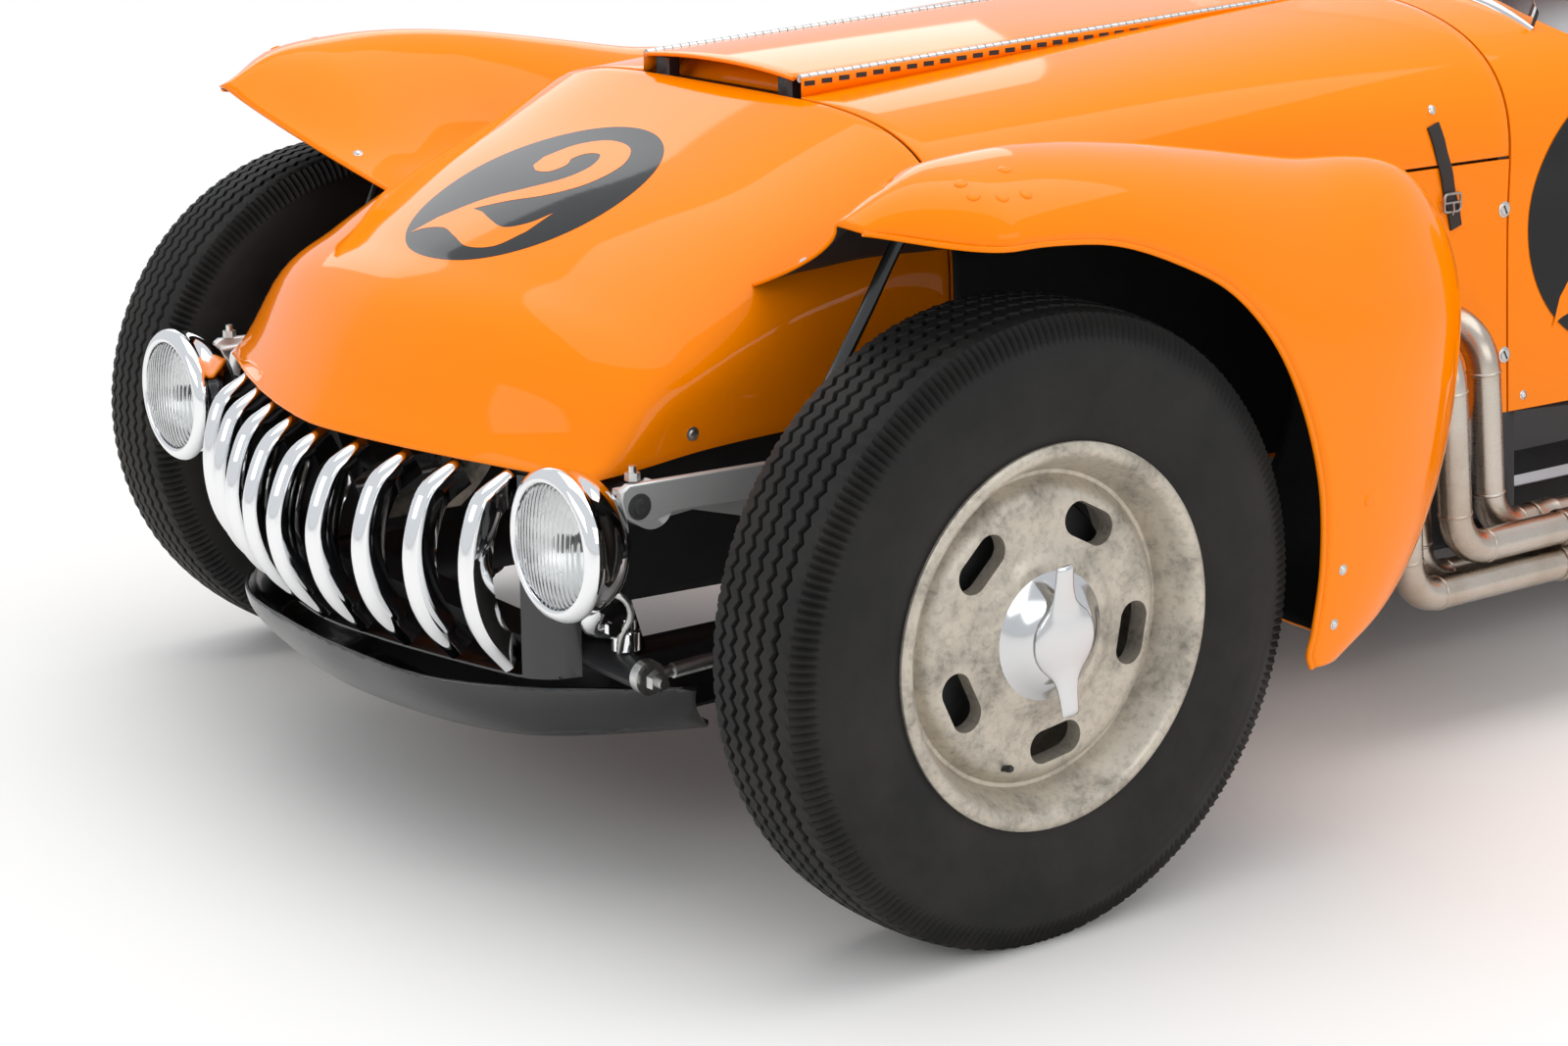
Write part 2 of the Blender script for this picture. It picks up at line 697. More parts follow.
def build_leather_and_wood():
    f = Finish("black_leather", Specular_IOR_Level=0.5)
    g = f.group("leather", Colour=(0.030, 0.027, 0.025, 1), Crease_Colour=(0.010, 0.009, 0.008, 1),
                Cell_Scale=330.0)
    f.feed("Base Color", g.outputs["Colour"])
    f.feed("Roughness", g.outputs["Roughness"])
    f.bump(g.outputs["Height"], 0.0004, 0.5)
    s = Finish("strap_leather", Specular_IOR_Level=0.4)
    g = s.group("leather", Colour=(0.022, 0.019, 0.018, 1), Crease_Colour=(0.010, 0.009, 0.008, 1),
                Cell_Scale=620.0)
    s.feed("Base Color", g.outputs["Colour"])
    s.feed("Roughness", g.outputs["Roughness"])
    s.bump(g.outputs["Height"], 0.0002, 0.4)
    w = Finish("varnished_wood", Coat_Weight=0.8, Coat_Roughness=0.08)
    stretch = w.t.add("ShaderNodeMapping")
    stretch.inputs["Scale"].default_value = (60, 8, 8)
    w.t.join(w.place, stretch.inputs["Vector"])
    rings = w.t.noise(stretch.outputs[0], 3.0, 5, 0.6)
    w.feed("Base Color",
           w.t.mix(w.t.ramp(rings, 0.35, 0.65), (0.30, 0.115, 0.035, 1), (0.11, 0.036, 0.012, 1)))
    w.feed("Roughness", w.t.math("ADD", 0.3, w.t.math("MULTIPLY", rings, 0.15)))
    w.bump(rings, 0.0001, 0.4)


def build_glass():
    f = Finish("lamp_glass", Base_Color=(0.97, 0.985, 0.99, 1), Transmission_Weight=1.0, IOR=1.46,
               Metallic=0.0)
    split = f.t.add("ShaderNodeSeparateXYZ")
    f.t.join(f.place, split.inputs[0])
    flute = f.t.math("SINE", f.t.math("MULTIPLY", split.outputs["Y"], 2 * math.pi / 0.0075))
    bands = f.t.math("SINE", f.t.math("MULTIPLY", split.outputs["Z"], 2 * math.pi / 0.026))
    height = f.t.math("ADD", flute, f.t.math("MULTIPLY", bands, 0.6))
    f.feed("Roughness", f.t.math("ADD", 0.02, f.t.math("MULTIPLY", f.t.noise(f.place, 30.0), 0.03)))
    f.bump(height, 0.0004, 0.4)
    c = Finish("clear_screen", Base_Color=(0.94, 0.97, 0.97, 1), Transmission_Weight=1.0, IOR=1.3,
               Metallic=0.0)
    c.feed("Roughness", c.t.math("ADD", 0.01, c.t.math("MULTIPLY", c.t.noise(c.place, 24.0, 4), 0.04)))
    c.bump(c.t.noise(c.place, 3.0), 0.0002, 0.3)
    r = Finish("red_glass", Base_Color=(0.60, 0.01, 0.012, 1), Transmission_Weight=0.7, IOR=1.5,
               Metallic=0.0)
    split = r.t.add("ShaderNodeSeparateXYZ")
    r.t.join(r.place, split.inputs[0])
    ribs = r.t.math("SINE", r.t.math("MULTIPLY", split.outputs["Z"], 2 * math.pi / 0.005))
    r.feed("Roughness", r.t.math("ADD", 0.05, r.t.math("MULTIPLY", r.t.noise(r.place, 60.0), 0.05)))
    r.bump(ribs, 0.0005, 0.5)


def build_dials():
    plain_finish("dial_black", (0.010, 0.010, 0.011), 0.5, spread=0.05, amount=0.1, scale=30,
                 height=0.00001)
    plain_finish("dial_cream", (0.80, 0.76, 0.62), 0.5, spread=0.05, amount=0.1, scale=30, height=0.00001)
    plain_finish("filament_white", (0.80, 0.80, 0.76), 0.4, spread=0.1, amount=0.2, scale=60,
                 height=0.00001)


# ---- body surface ----------------------------------------------------------------------------
# Each row: side edge x, middle x, crown height, half width, shoulder height, flare and squareness.
NOSE_SEAM = FRONT_AXLE - 132
COWL_SEAM = FRONT_AXLE - 1095
NOSE_RIBS = [
    (NOSE_FRONT, 1745, 519, 436, 513, 0.00, 2.2), (1605, 1725, 553, 442, 527, 0.02, 2.3),
    (1583, 1699, 606, 446, 540, 0.02, 2.4), (1557, 1663, 655, 449, 556, 0.02, 2.6),
    (1487, 1567, 705, 451, 575, 0.02, 2.9), (1380, 1422, 768, 455, 588, 0.03, 3.3),
    (1260, 1275, 822, 463, 600, 0.04, 3.7), (1143, 1143, 875, 474, 610, 0.05, 4.1)]
BODY_RIBS = [
    (1143, 1143, 875, 474, 610, 0.05, 4.1), (925, 925, 892, 478, 622, 0.06, 4.1),
    (555, 555, 922, 480, 660, 0.08, 3.8), (180, 180, 949, 481, 700, 0.08, 3.2),
    (-145, -145, 956, 494, 700, 0.06, 3.1), (-480, -480, 935, 502, 695, 0.04, 3.0),
    (-760, -760, 905, 504, 690, 0.03, 2.9), (-1040, -1040, 868, 496, 672, 0.02, 2.7),
    (-1360, -1360, 800, 458, 630, 0.02, 2.5), (-1610, -1610, 715, 398, 582, 0.02, 2.4),
    (-1760, -1760, 640, 340, 545, 0.02, 2.3), (-1806, -1806, 606, 312, 530, 0.02, 2.3)]
SILL_PLACES = ([1143, -960, -1360, -1810], [402, 402, 416, 452])
NOSE_HEMS = ([NOSE_FRONT, 1487, 1260, 1143], [512, 530, 541, 545])


def blend_values(xs, values, x):
    """Smooth curve through the values, read at x; xs falls from nose to tail."""
    last = len(xs) - 2
    i = 0
    while i < last and x < xs[i + 1]:
        i += 1
    span = xs[i + 1] - xs[i]
    slope = (values[i + 1] - values[i]) / span
    before = (values[i] - values[i - 1]) / (xs[i] - xs[i - 1]) if i > 0 else slope
    after = (values[i + 2] - values[i + 1]) / (xs[i + 2] - xs[i + 1]) if i < last else slope
    m0, m1 = (before + slope) / 2, (slope + after) / 2
    t = (x - xs[i]) / span
    h = values[i] * (2 * t**3 - 3 * t**2 + 1) + values[i + 1] * (3 * t**2 - 2 * t**3)
    return h + span * (m0 * (t**3 - 2 * t**2 + t) + m1 * (t**3 - t**2))


def rib_at(x, ribs):
    xs = [rib[0] for rib in ribs]
    return [x] + [blend_values(xs, [rib[i] for rib in ribs], x) for i in range(1, 7)]


def flare_at(flare, drop):
    return flare * drop * drop / (drop + 80)


def rib_line(x, hem, ribs, fine=90):
    """One rib from the crown down to the hem, as close-set points."""
    edge, centre, crown, half, belt, flare, square = rib_at(x, ribs)
    points = []
    for i in range(fine + 1):
        angle = math.pi / 4 * (1 - math.cos(math.pi * i / fine))
        y = half * math.sin(angle) ** (2 / square)
        z = belt + (crown - belt) * max(math.cos(angle), 0.0) ** (2 / square)
        px = centre - (centre - edge) * (y / half) ** 1.5
        points.append(Vector((px, y, z)))
    for i in range(1, fine + 1):
        drop = (belt - hem) * i / fine
        points.append(Vector((edge, half + flare_at(flare, drop), belt - drop)))
    return points


def body_half_width(x, z, ribs=None):
    ribs = ribs or (NOSE_RIBS if x > NOSE_SEAM else BODY_RIBS)
    _, _, crown, half, belt, flare, square = rib_at(x, ribs)
    if z <= belt:
        return half + flare_at(flare, belt - z)
    share = min(1.0, (z - belt) / (crown - belt))
    return half * (1 - share**square) ** (1 / square)


def body_height(x, y, ribs=None):
    ribs = ribs or (NOSE_RIBS if x > NOSE_SEAM else BODY_RIBS)
    _, _, crown, half, belt, _, square = rib_at(x, ribs)
    share = max(0.0, 1 - (abs(y) / half) ** square)
    return belt + (crown - belt) * share ** (1 / square)


def lengths_along(points):
    total = [0.0]
    for a, b in zip(points, points[1:]):
        total.append(total[-1] + (b - a).length)
    return total


def where(points, lengths, test):
    """Distance along the line at which test(point) passes zero from below."""
    for i in range(1, len(points)):
        a, b = test(points[i - 1]), test(points[i])
        if a <= 0 <= b and b > a:
            return lengths[i - 1] + (lengths[i] - lengths[i - 1]) * (-a / (b - a))
    return 0.0 if test(points[0]) > 0 else lengths[-1]


def point_at(points, lengths, want):
    low, high = 0, len(lengths) - 1
    while high - low > 1:
        middle = (low + high) // 2
        if lengths[middle] <= want:
            low = middle
        else:
            high = middle
    span = lengths[high] - lengths[low]
    share = 0 if span == 0 else (want - lengths[low]) / span
    return points[low].lerp(points[high], min(1.0, max(0.0, share)))


def panel(bm, x_front, x_rear, columns, rows, hem_at, ribs, start, end, side=1):
    """Body skin between two stations, from the start to the end test of each rib."""
    cache = {}

    def place(u, v):
        key = round(u * columns)
        if key not in cache:
            x = lerp(x_front, x_rear, u)
            points = rib_line(x, hem_at(x), ribs)
            lengths = lengths_along(points)
            cache[key] = (points, lengths, where(points, lengths, start), where(points, lengths, end))
        points, lengths, s0, s1 = cache[key]
        p = point_at(points, lengths, lerp(s0, s1, v))
        return metres(p.x, side * p.y, p.z)

    verts = mapped_grid(bm, columns, rows, place)
    faces = list({f for v in verts for f in v.link_faces})
    face_away(bm, faces, lambda f: Vector((f.calc_center_median().x, 0, 0.45)))
    return verts


def sill_hem(x):
    return blend_values(SILL_PLACES[0], SILL_PLACES[1], x)


def nose_hem(x):
    return blend_values(NOSE_HEMS[0], NOSE_HEMS[1], x)


def past_y(y):
    return lambda p: p.y - y


def below_z(z):
    return lambda p: z - p.z if p.y > 150 else -1


def skin_piece(name, bm, body, material, stands_for=(), thickness=0.004, bevel=0.0012):
    bmesh.ops.remove_doubles(bm, verts=bm.verts[:], dist=1e-6)
    obj = add_piece(name, bm, body, material, stands_for, angle=60, tidy=False)
    thicken(obj, thickness)
    if bevel:
        bevel_edges(obj, bevel, 2, 50)
    return obj


# ---- nose and hood ---------------------------------------------------------------------------
class CAR_OT_nose(bpy.types.Operator):
    """Make the nose shell with its rolled front lip and seam screws"""
    bl_idname = "racing_car.nose"
    bl_label = "Nose"

    def execute(self, context):
        orange = FINISHES["orange_gloss"]
        bm = bmesh.new()
        for side in (1, -1):
            panel(bm, NOSE_FRONT, NOSE_SEAM + 2, 46, 46, nose_hem, NOSE_RIBS, past_y(0), lambda p: -1, side)
        skin_piece("nose_shell", bm, CAR, orange, ("nose",))
        lip = bmesh.new()
        points = rib_line(NOSE_FRONT, nose_hem(NOSE_FRONT), NOSE_RIBS)
        lengths = lengths_along(points)
        row = [point_at(points, lengths, lengths[-1] * i / 40) for i in range(41)]
        path = [metres(p.x - 2, -p.y + 1, p.z - 2) for p in reversed(row[1:])]
        path += [metres(p.x - 2, p.y - 1, p.z - 2) for p in row]
        tube(lip, path, 0.0034, 10)
        add_piece("nose_wired_edge", lip, CAR, orange)
        return {"FINISHED"}


HOOD_SPLIT = 169
HOOD_EDGE = 745


class CAR_OT_hood(bpy.types.Operator):
    """Make the fixed centre strip with its raised lip, both lids and the piano hinges"""
    bl_idname = "racing_car.hood"
    bl_label = "Hood"

    def execute(self, context):
        orange = FINISHES["orange_gloss"]
        bm = bmesh.new()
        for side in (1, -1):
            panel(bm, NOSE_SEAM - 2, COWL_SEAM + 2, 50, 8, sill_hem, BODY_RIBS, past_y(0),
                  past_y(HOOD_SPLIT - 5.3), side)
        for v in bm.verts:
            crown = 7 * (1 - (v.co.y / MM / 158) ** 2) * smooth_step(250, NOSE_SEAM, v.co.x / MM)
            v.co.z += (strip_rise(v.co.x / MM) + max(crown, 0)) * MM
        skin_piece("hood_centre_strip", bm, CAR, orange, ("hood_centre",))
        bm = bmesh.new()
        panel(bm, NOSE_SEAM - 2, COWL_SEAM + 2, 50, 26, sill_hem, BODY_RIBS, past_y(HOOD_SPLIT + 6),
              below_z(HOOD_EDGE + 2))
        lid = skin_piece("hood_lid_left", bm, "left_hood_lid", orange, ("hood_left",))
        mirrored_mesh(lid, "hood_lid_right", "right_hood_lid", ("hood_right",))
        lid_flange()
        scoop_lip()
        piano_hinges()
        return {"FINISHED"}


def strip_rise(x):
    return hinge_height(x) + 2 - body_height(x, HOOD_SPLIT, BODY_RIBS)


def lid_flange():
    """Upright inner edge of each lid, with the notches of the hinge leaf."""
    y = HOOD_SPLIT + 6

    def place(u, v):
        x = lerp(NOSE_SEAM - 4, COWL_SEAM + 4, u)
        low = body_height(x, y, BODY_RIBS) - 2
        return metres(x, y, lerp(low, max(hinge_height(x) + 1, low + 2.5), v))

    bm = bmesh.new()
    mapped_grid(bm, 60, 2, place)
    face_away(bm, bm.faces[:], lambda f: f.calc_center_median() - Vector((0, 1, 0)))
    add_pair("lid_flange", bm, FINISHES["orange_gloss"], bodies=HOOD_LIDS, wall=0.0015)
    bm = bmesh.new()
    for i in range(26):
        x = NOSE_SEAM - 16 - 27 * i
        z = hinge_height(x) - 6.5
        tall = min(6.0, z + 3 - body_height(x, y, BODY_RIBS))
        if tall < 1.6:
            continue
        add_box(bm, Matrix.Translation(metres(x, y + 0.3, z)), 0.016, 0.0008, tall * MM)
    add_pair("hinge_notches", bm, FINISHES["engine_bay_black"], bodies=HOOD_LIDS)


def scoop_lip():
    """Rolled front edge of the centre strip, with the dark air slot under it."""
    bm = bmesh.new()
    path = []
    for i in range(-20, 21):
        y = (HOOD_SPLIT - 7) * i / 20
        crown = 7 * (1 - (y / 158) ** 2)
        path.append(metres(NOSE_SEAM - 1, y,
                           body_height(NOSE_SEAM, y, BODY_RIBS) + strip_rise(NOSE_SEAM) + crown - 2.4))
    tube(bm, path, 0.0028, 10)
    add_piece("scoop_wired_edge", bm, CAR, FINISHES["orange_gloss"])
    bm = bmesh.new()

    def place(u, v):
        y = lerp(5 - HOOD_SPLIT, HOOD_SPLIT - 5, u)
        low = body_height(NOSE_SEAM, y, BODY_RIBS) - 8
        return metres(NOSE_SEAM - 46 - 30 * v, y, lerp(low, low + 8 + strip_rise(NOSE_SEAM - 46), v))

    mapped_grid(bm, 24, 2, place)
    obj = add_piece("scoop_dark_slot", bm, CAR, FINISHES["orange_gloss"])
    thicken(obj, 0.002)


def hinge_height(x):
    return 896 + (NOSE_SEAM - x) * 46 / 900


def piano_hinges():
    """Long hinges of short knuckles on a pin."""
    zinc = FINISHES["bright_zinc"]
    start, end = NOSE_SEAM - 4, COWL_SEAM + 4
    pitch = 13.5
    count = int((start - end) / pitch)
    bm = bmesh.new()
    axis = Vector((1, 0, -46 / 900)).normalized()
    turn = turned_to(axis)
    for i in range(count):
        a = start - i * pitch - 0.5
        b = a - pitch + 1.3
        middle = (a + b) / 2
        place = Matrix.Translation(metres(middle, HOOD_SPLIT, hinge_height(middle))) @ turn
        add_post(bm, place, 14, 0.0052, (a - b) * MM)
    pin = [metres(start + 1, HOOD_SPLIT, hinge_height(start + 1)),
           metres(end - 1, HOOD_SPLIT, hinge_height(end - 1))]
    tube(bm, [pin[0], pin[0].lerp(pin[1], 0.5), pin[1]], 0.0034, 8)
    hinge = add_piece("piano_hinge_left", bm, CAR, zinc, ("hood_hinges",), angle=30)
    mirrored_mesh(hinge, "piano_hinge_right", CAR)


# ---- sides, cowl, doors, tail ----------------------------------------------------------------
class CAR_OT_body(bpy.types.Operator):
    """Make the engine side panels, cowl, doors and tail from the welded skins"""
    bl_idname = "racing_car.body"
    bl_label = "Body"

    def execute(self, context):
        orange = FINISHES["orange_gloss"]
        for node, body, slot in (
                ("side_panels", CAR, "orange_paint"), ("splash_panels", CAR, "orange_paint"),
                ("cowl", CAR, "orange_paint"), ("tail_body", CAR, "orange_paint"),
                ("tail_panel", CAR, "orange_paint"),
                ("door_left", "left_door", "orange_door"), ("door_right", "right_door", "orange_door")):
            copy_piece(node + "_skin", node, body, orange, angle=28)
        arch_liners()
        return {"FINISHED"}


def arch_liners():
    """Black sheets on the body side under the front fenders and beside the front axle."""
    foot_x = [r[2][0] for r in FRONT_FENDER[3:11]]
    foot_z = [r[2][1] for r in FRONT_FENDER[3:11]]

    def side_sheet(u, v):
        x = lerp(NOSE_SEAM - 3, FRONT_AXLE - 692, u)
        top = AXLE_HEIGHT + blend_values(foot_x, foot_z, x - FRONT_AXLE)
        z = lerp(406, max(420, top - 3), v)
        return metres(x, body_half_width(x, z, BODY_RIBS) + 1.6, z)

    def axle_sheet(u, v):
        x = lerp(1592, 1150, u)
        z = lerp(345, lerp(500, 640, u), v)
        return metres(x, 372 + 30 * u, z)

    def low_sheet(u, v):
        return metres(lerp(1130, 560, u), 462, lerp(255, 412, v))

    def sill_sheet(u, v):
        return metres(lerp(250, -470, u), 420, lerp(190, 400, v))

    for name, place in (("arch_side", side_sheet), ("axle_side", axle_sheet), ("arch_low", low_sheet),
                        ("sill_side", sill_sheet)):
        bm = bmesh.new()
        mapped_grid(bm, 48, 20, place)
        face_away(bm, bm.faces[:], lambda f: f.calc_center_median() - Vector((0, 1, 0)))
        add_pair(name, bm, FINISHES["wheel_arch_black"], wall=0.0012)


# ---- fenders ---------------------------------------------------------------------------------
# Each row, measured from the wheel centre: outer edge, crown and foot, as X and Z pairs.
FRONT_FENDER = [
    ((200, 459), (213, 466), (115, 345)), ((120, 446), (120, 508), (60, 360)),
    ((30, 445), (20, 523), (-10, 370)),
    ((-60, 435), (-80, 524), (-110, 372)), ((-150, 405), (-190, 514), (-210, 371)),
    ((-235, 362), (-310, 496), (-330, 370)), ((-305, 295), (-455, 472), (-450, 366)),
    ((-355, 210), (-628, 448), (-560, 340)), ((-386, 115), (-718, 340), (-640, 262)),
    ((-393, 22), (-728, 200), (-690, 150)), ((-384, -55), (-694, 62), (-660, 40)),
    ((-376, -86), (-620, -52), (-590, -42)), ((-382, -104), (-505, -112), (-515, -98))]
REAR_FENDER = [
    ((405, -60), (455, -70), (440, -60)), ((400, 60), (490, 80), (470, 80)),
    ((370, 170), (470, 230), (450, 200)),
    ((300, 275), (390, 380), (380, 310)), ((190, 360), (250, 480), (240, 370)),
    ((60, 405), (80, 528), (70, 390)),
    ((-80, 402), (-110, 520), (-120, 385)), ((-210, 348), (-290, 470), (-290, 355)),
    ((-310, 260), (-440, 380), (-430, 300)), ((-375, 155), (-540, 260), (-520, 220)),
    ((-400, 45), (-590, 140), (-570, 130)), ((-405, -30), (-600, 40), (-580, 40))]
EDGE_Y = 842
CROWN_Y = 700


def fender_edge_y(fender, t):
    """The front tip of a front fender draws in towards the nose."""
    return EDGE_Y - (107 * (1 - smooth_step(0, 0.12, t)) if fender is FRONT_FENDER else 0)


def fender_rib(fender, t):
    """Edge, crown and foot of a fender at one share of its length."""
    return [spline_at([(*rib[i], 0) for rib in fender], t) for i in range(3)]


def fender_line(fender, axle, t, flank=18, inner=26):
    """One cross line of a fender, from its outer edge over the crown to the body."""
    edge, crown, foot = fender_rib(fender, t)
    edge_y = fender_edge_y(fender, t)
    points = []
    for i in range(flank + 1):
        angle = math.pi / 2 * (1 - i / flank)
        share = math.cos(angle)
        points.append(Vector((axle + lerp(edge.x, crown.x, share),
                              CROWN_Y + (edge_y - CROWN_Y) * math.sin(angle),
                              AXLE_HEIGHT + lerp(edge.y, crown.y, share))))
    foot_z = max(AXLE_HEIGHT + foot.y, 402)
    foot_y = body_half_width(axle + foot.x, foot_z) + 0.5
    for i in range(1, inner + 1):
        s = i / inner
        tip = (1 - smooth_step(0, 0.12, t)) if fender is FRONT_FENDER else 0
        share = lerp((1 - math.cos(math.pi * s)) / 2, s ** 0.75, tip)
        points.append(Vector((axle + lerp(crown.x, foot.x, share), CROWN_Y + (foot_y - CROWN_Y) * s,
                              AXLE_HEIGHT + lerp(crown.y, foot.y, share))))
    return points


def fender_sheet(bm, fender, axle, columns, rows):
    cache = {}

    def place(u, v):
        key = round(u * columns)
        if key not in cache:
            points = fender_line(fender, axle, u)
            cache[key] = (points, lengths_along(points))
        points, lengths = cache[key]
        p = point_at(points, lengths, lengths[-1] * v)
        return p * MM

    verts = mapped_grid(bm, columns, rows, place)
    faces = list({f for v in verts for f in v.link_faces})
    centre = Vector((axle * MM, 0.60, AXLE_HEIGHT * MM))
    face_away(bm, faces, lambda f: centre)


class CAR_OT_fenders(bpy.types.Operator):
    """Make the four fenders with wired edges, black undersides, rivets and screws"""
    bl_idname = "racing_car.fenders"
    bl_label = "Fenders"

    def execute(self, context):
        orange = FINISHES["orange_gloss"]
        self.stay()
        for tag, fender, axle, node in (("front", FRONT_FENDER, FRONT_AXLE, "fenders_front"),
                                        ("rear", REAR_FENDER, REAR_AXLE, "fenders_rear")):
            bm = bmesh.new()
            fender_sheet(bm, fender, axle, 96, 40)
            obj = make_object("fender_" + tag + "_left", bm)
            shade(obj, 60)
            obj.data.materials.append(orange)
            obj.data.materials.append(FINISHES["wheel_arch_black"])
            thicken(obj, 0.004)
            obj.modifiers["wall"].material_offset = 1
            obj.modifiers["wall"].material_offset_rim = 0
            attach(obj, CAR)
            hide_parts(node)
            twin = mirrored_mesh(obj, "fender_" + tag + "_right", CAR)
            twin.modifiers["wall"].material_offset = 1
            twin.modifiers["wall"].material_offset_rim = 0
            fender_edge(tag, fender, axle)
        return {"FINISHED"}

    def stay(self):
        """Black strut from the front edge of each front fender down to the chassis."""
        bm = bmesh.new()
        line = [metres(1282, 585, 800), metres(1300, 566, 760), metres(1340, 556, 680),
                metres(1384, 546, 600), metres(1405, 520, 540)]
        fine = [spline_at(line, i / 24) for i in range(25)]
        sweep(bm, fine, box_outline(0.016, 0.009, 0.003, 3), up=Vector((0.6, 0.6, 0.3)))
        add_pair("fender_stay", bm, FINISHES["black_enamel"], angle=40)


def fender_edge(tag, fender, axle):
    """Wire rolled into the free edge of the metal."""
    bm = bmesh.new()
    path = []
    for i in range(121):
        p = fender_line(fender, axle, i / 120, 6, 4)[0]
        path.append(metres(p.x, p.y - 2.4, p.z - 1))
    tube(bm, path, 0.0036, 10)
    add_pair("fender_" + tag + "_wire", bm, FINISHES["orange_gloss"])


# ---- tyres -----------------------------------------------------------------------------------
def tyre_profile():
    """(radius, across) pairs of one side of the carcass, from the bead to the tread."""
    return [(205, 75), (224, 77), (240, 82.5), (256, 86.5), (272, 89), (288, 90.4), (304, 89.6), (318, 87),
            (330, 84), (338, 81.6), (346, 78.6), (352, 75.4), (357, 71.5), (360, 67.5)]


def tread_row(y):
    return 367 - 5.5 * (abs(y) / 62) ** 2.4


def tyre_columns():
    """Columns across the tyre as (radius, across, wave share, groove depth share, flute share)."""
    columns = [(r, y, 0, 0, 0) for r, y in tyre_profile()[:8]]
    columns += [(r, y, 0, 0, f) for (r, y), f in zip(tyre_profile()[8:], (0.25, 0.8, 1, 1, 0.8, 0.3))]
    grooves = (46, 23, 0, -23, -46)
    tread = [(62, 1, 0), (56, 1, 0)]
    for g in grooves:
        tread += [(g + 4.4, 1, 0), (g + 3.3, 1, 0.25), (g + 2.4, 1, 1), (g - 2.4, 1, 1), (g - 3.3, 1, 0.25),
                  (g - 4.4, 1, 0)]
        if g != grooves[-1]:
            tread += [(g - 9, 1, 0), (g - 14, 1, 0)]
    tread += [(-56, 1, 0), (-62, 1, 0)]
    columns += [(tread_row(y), y, w, d, 0) for y, w, d in tread]
    shares = (0.3, 0.8, 1, 1, 0.8, 0.25)
    mirror = [(r, -y, 0, 0, f) for (r, y), f in zip(reversed(tyre_profile()[8:]), shares)]
    columns += mirror + [(r, -y, 0, 0, 0) for r, y in reversed(tyre_profile()[:8])]
    columns += [(209, -68, 0, 0, 0), (225, -64, 0, 0, 0), (290, -76, 0, 0, 0), (346, -54, 0, 0, 0),
                (351, 0, 0, 0, 0),
                (346, 54, 0, 0, 0), (290, 76, 0, 0, 0), (225, 64, 0, 0, 0), (209, 68, 0, 0, 0), columns[0]]
    return columns


def sidewall_band(r, y):
    """Raised rings moulded into the sidewall."""
    lift = 0.0
    for centre, width, height in ((232, 3.0, 1.4), (246, 2.0, 0.7), (322, 2.2, 0.9), (281, 1.6, 0.5)):
        lift += height * math.exp(-((r - centre) / width) ** 2)
    return lift if abs(y) > 60 and r < 340 else 0.0


def tyre_bmesh(pitches):
    columns = tyre_columns()
    around = pitches * 4
    bm = bmesh.new()
    fine = []
    for a, b in zip(columns, columns[1:]):
        steps = 3 if (a[0] < 330 and abs(a[1]) > 70 and a[2] == 0) else 1
        for i in range(steps):
            fine.append(tuple(lerp(p, q, i / steps) for p, q in zip(a, b)))
    fine.append(columns[-1])
    wave = (0.0, 1.0, 0.0, -1.0)

    def place(u, v):
        j = round(u * around)
        r, y, w, depth, flute = fine[round(v * (len(fine) - 1))]
        phase = j % 4
        y = y + w * 3.4 * wave[phase]
        cut = flute * 4.6 * (phase % 2)
        r = r - depth * 7.5 - cut * 0.8
        y = y - math.copysign(cut, y)
        lift = sidewall_band(r, y)
        y = y + math.copysign(lift, y)
        angle = 2 * math.pi * j / around
        return Vector((r * MM * math.cos(angle), y * MM, r * MM * math.sin(angle)))

    mapped_grid(bm, around, len(fine) - 1, place)
    bmesh.ops.remove_doubles(bm, verts=bm.verts[:], dist=2e-5)
    bmesh.ops.recalc_face_normals(bm, faces=bm.faces[:])
    return bm


def flatten_contact(bm, height):
    """Press the tread to the ground it stands on."""
    for v in bm.verts:
        low = -height * MM
        if v.co.z < low:
            v.co.z = low


class CAR_OT_tyres(bpy.types.Operator):
    """Make the four ribbed racing tyres"""
    bl_idname = "racing_car.tyres"
    bl_label = "Tyres"

    def execute(self, context):
        bm = tyre_bmesh(context.scene.racing_sizes.tread_pitches)
        flatten_contact(bm, AXLE_HEIGHT)
        base = bpy.data.meshes.new("tyre_base")
        bm.to_mesh(base)
        bm.free()
        for corner, (axle, side) in CORNERS.items():
            mesh = base.copy()
            turn = Matrix.Identity(4) if side > 0 else Matrix.Rotation(math.pi, 4, "Z")
            mesh.transform(Matrix.Translation(metres(axle, side * HALF_TRACK, AXLE_HEIGHT)) @ turn)
            obj = bpy.data.objects.new("racing_tyre_" + corner, mesh)
            context.scene.collection.objects.link(obj)
            shade(obj, 34)
            mesh.materials.append(FINISHES["tyre_rubber"])
            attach(obj, "wheel_" + corner + "_body")
            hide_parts("tyre_" + corner)
        bpy.data.meshes.remove(base)
        return {"FINISHED"}


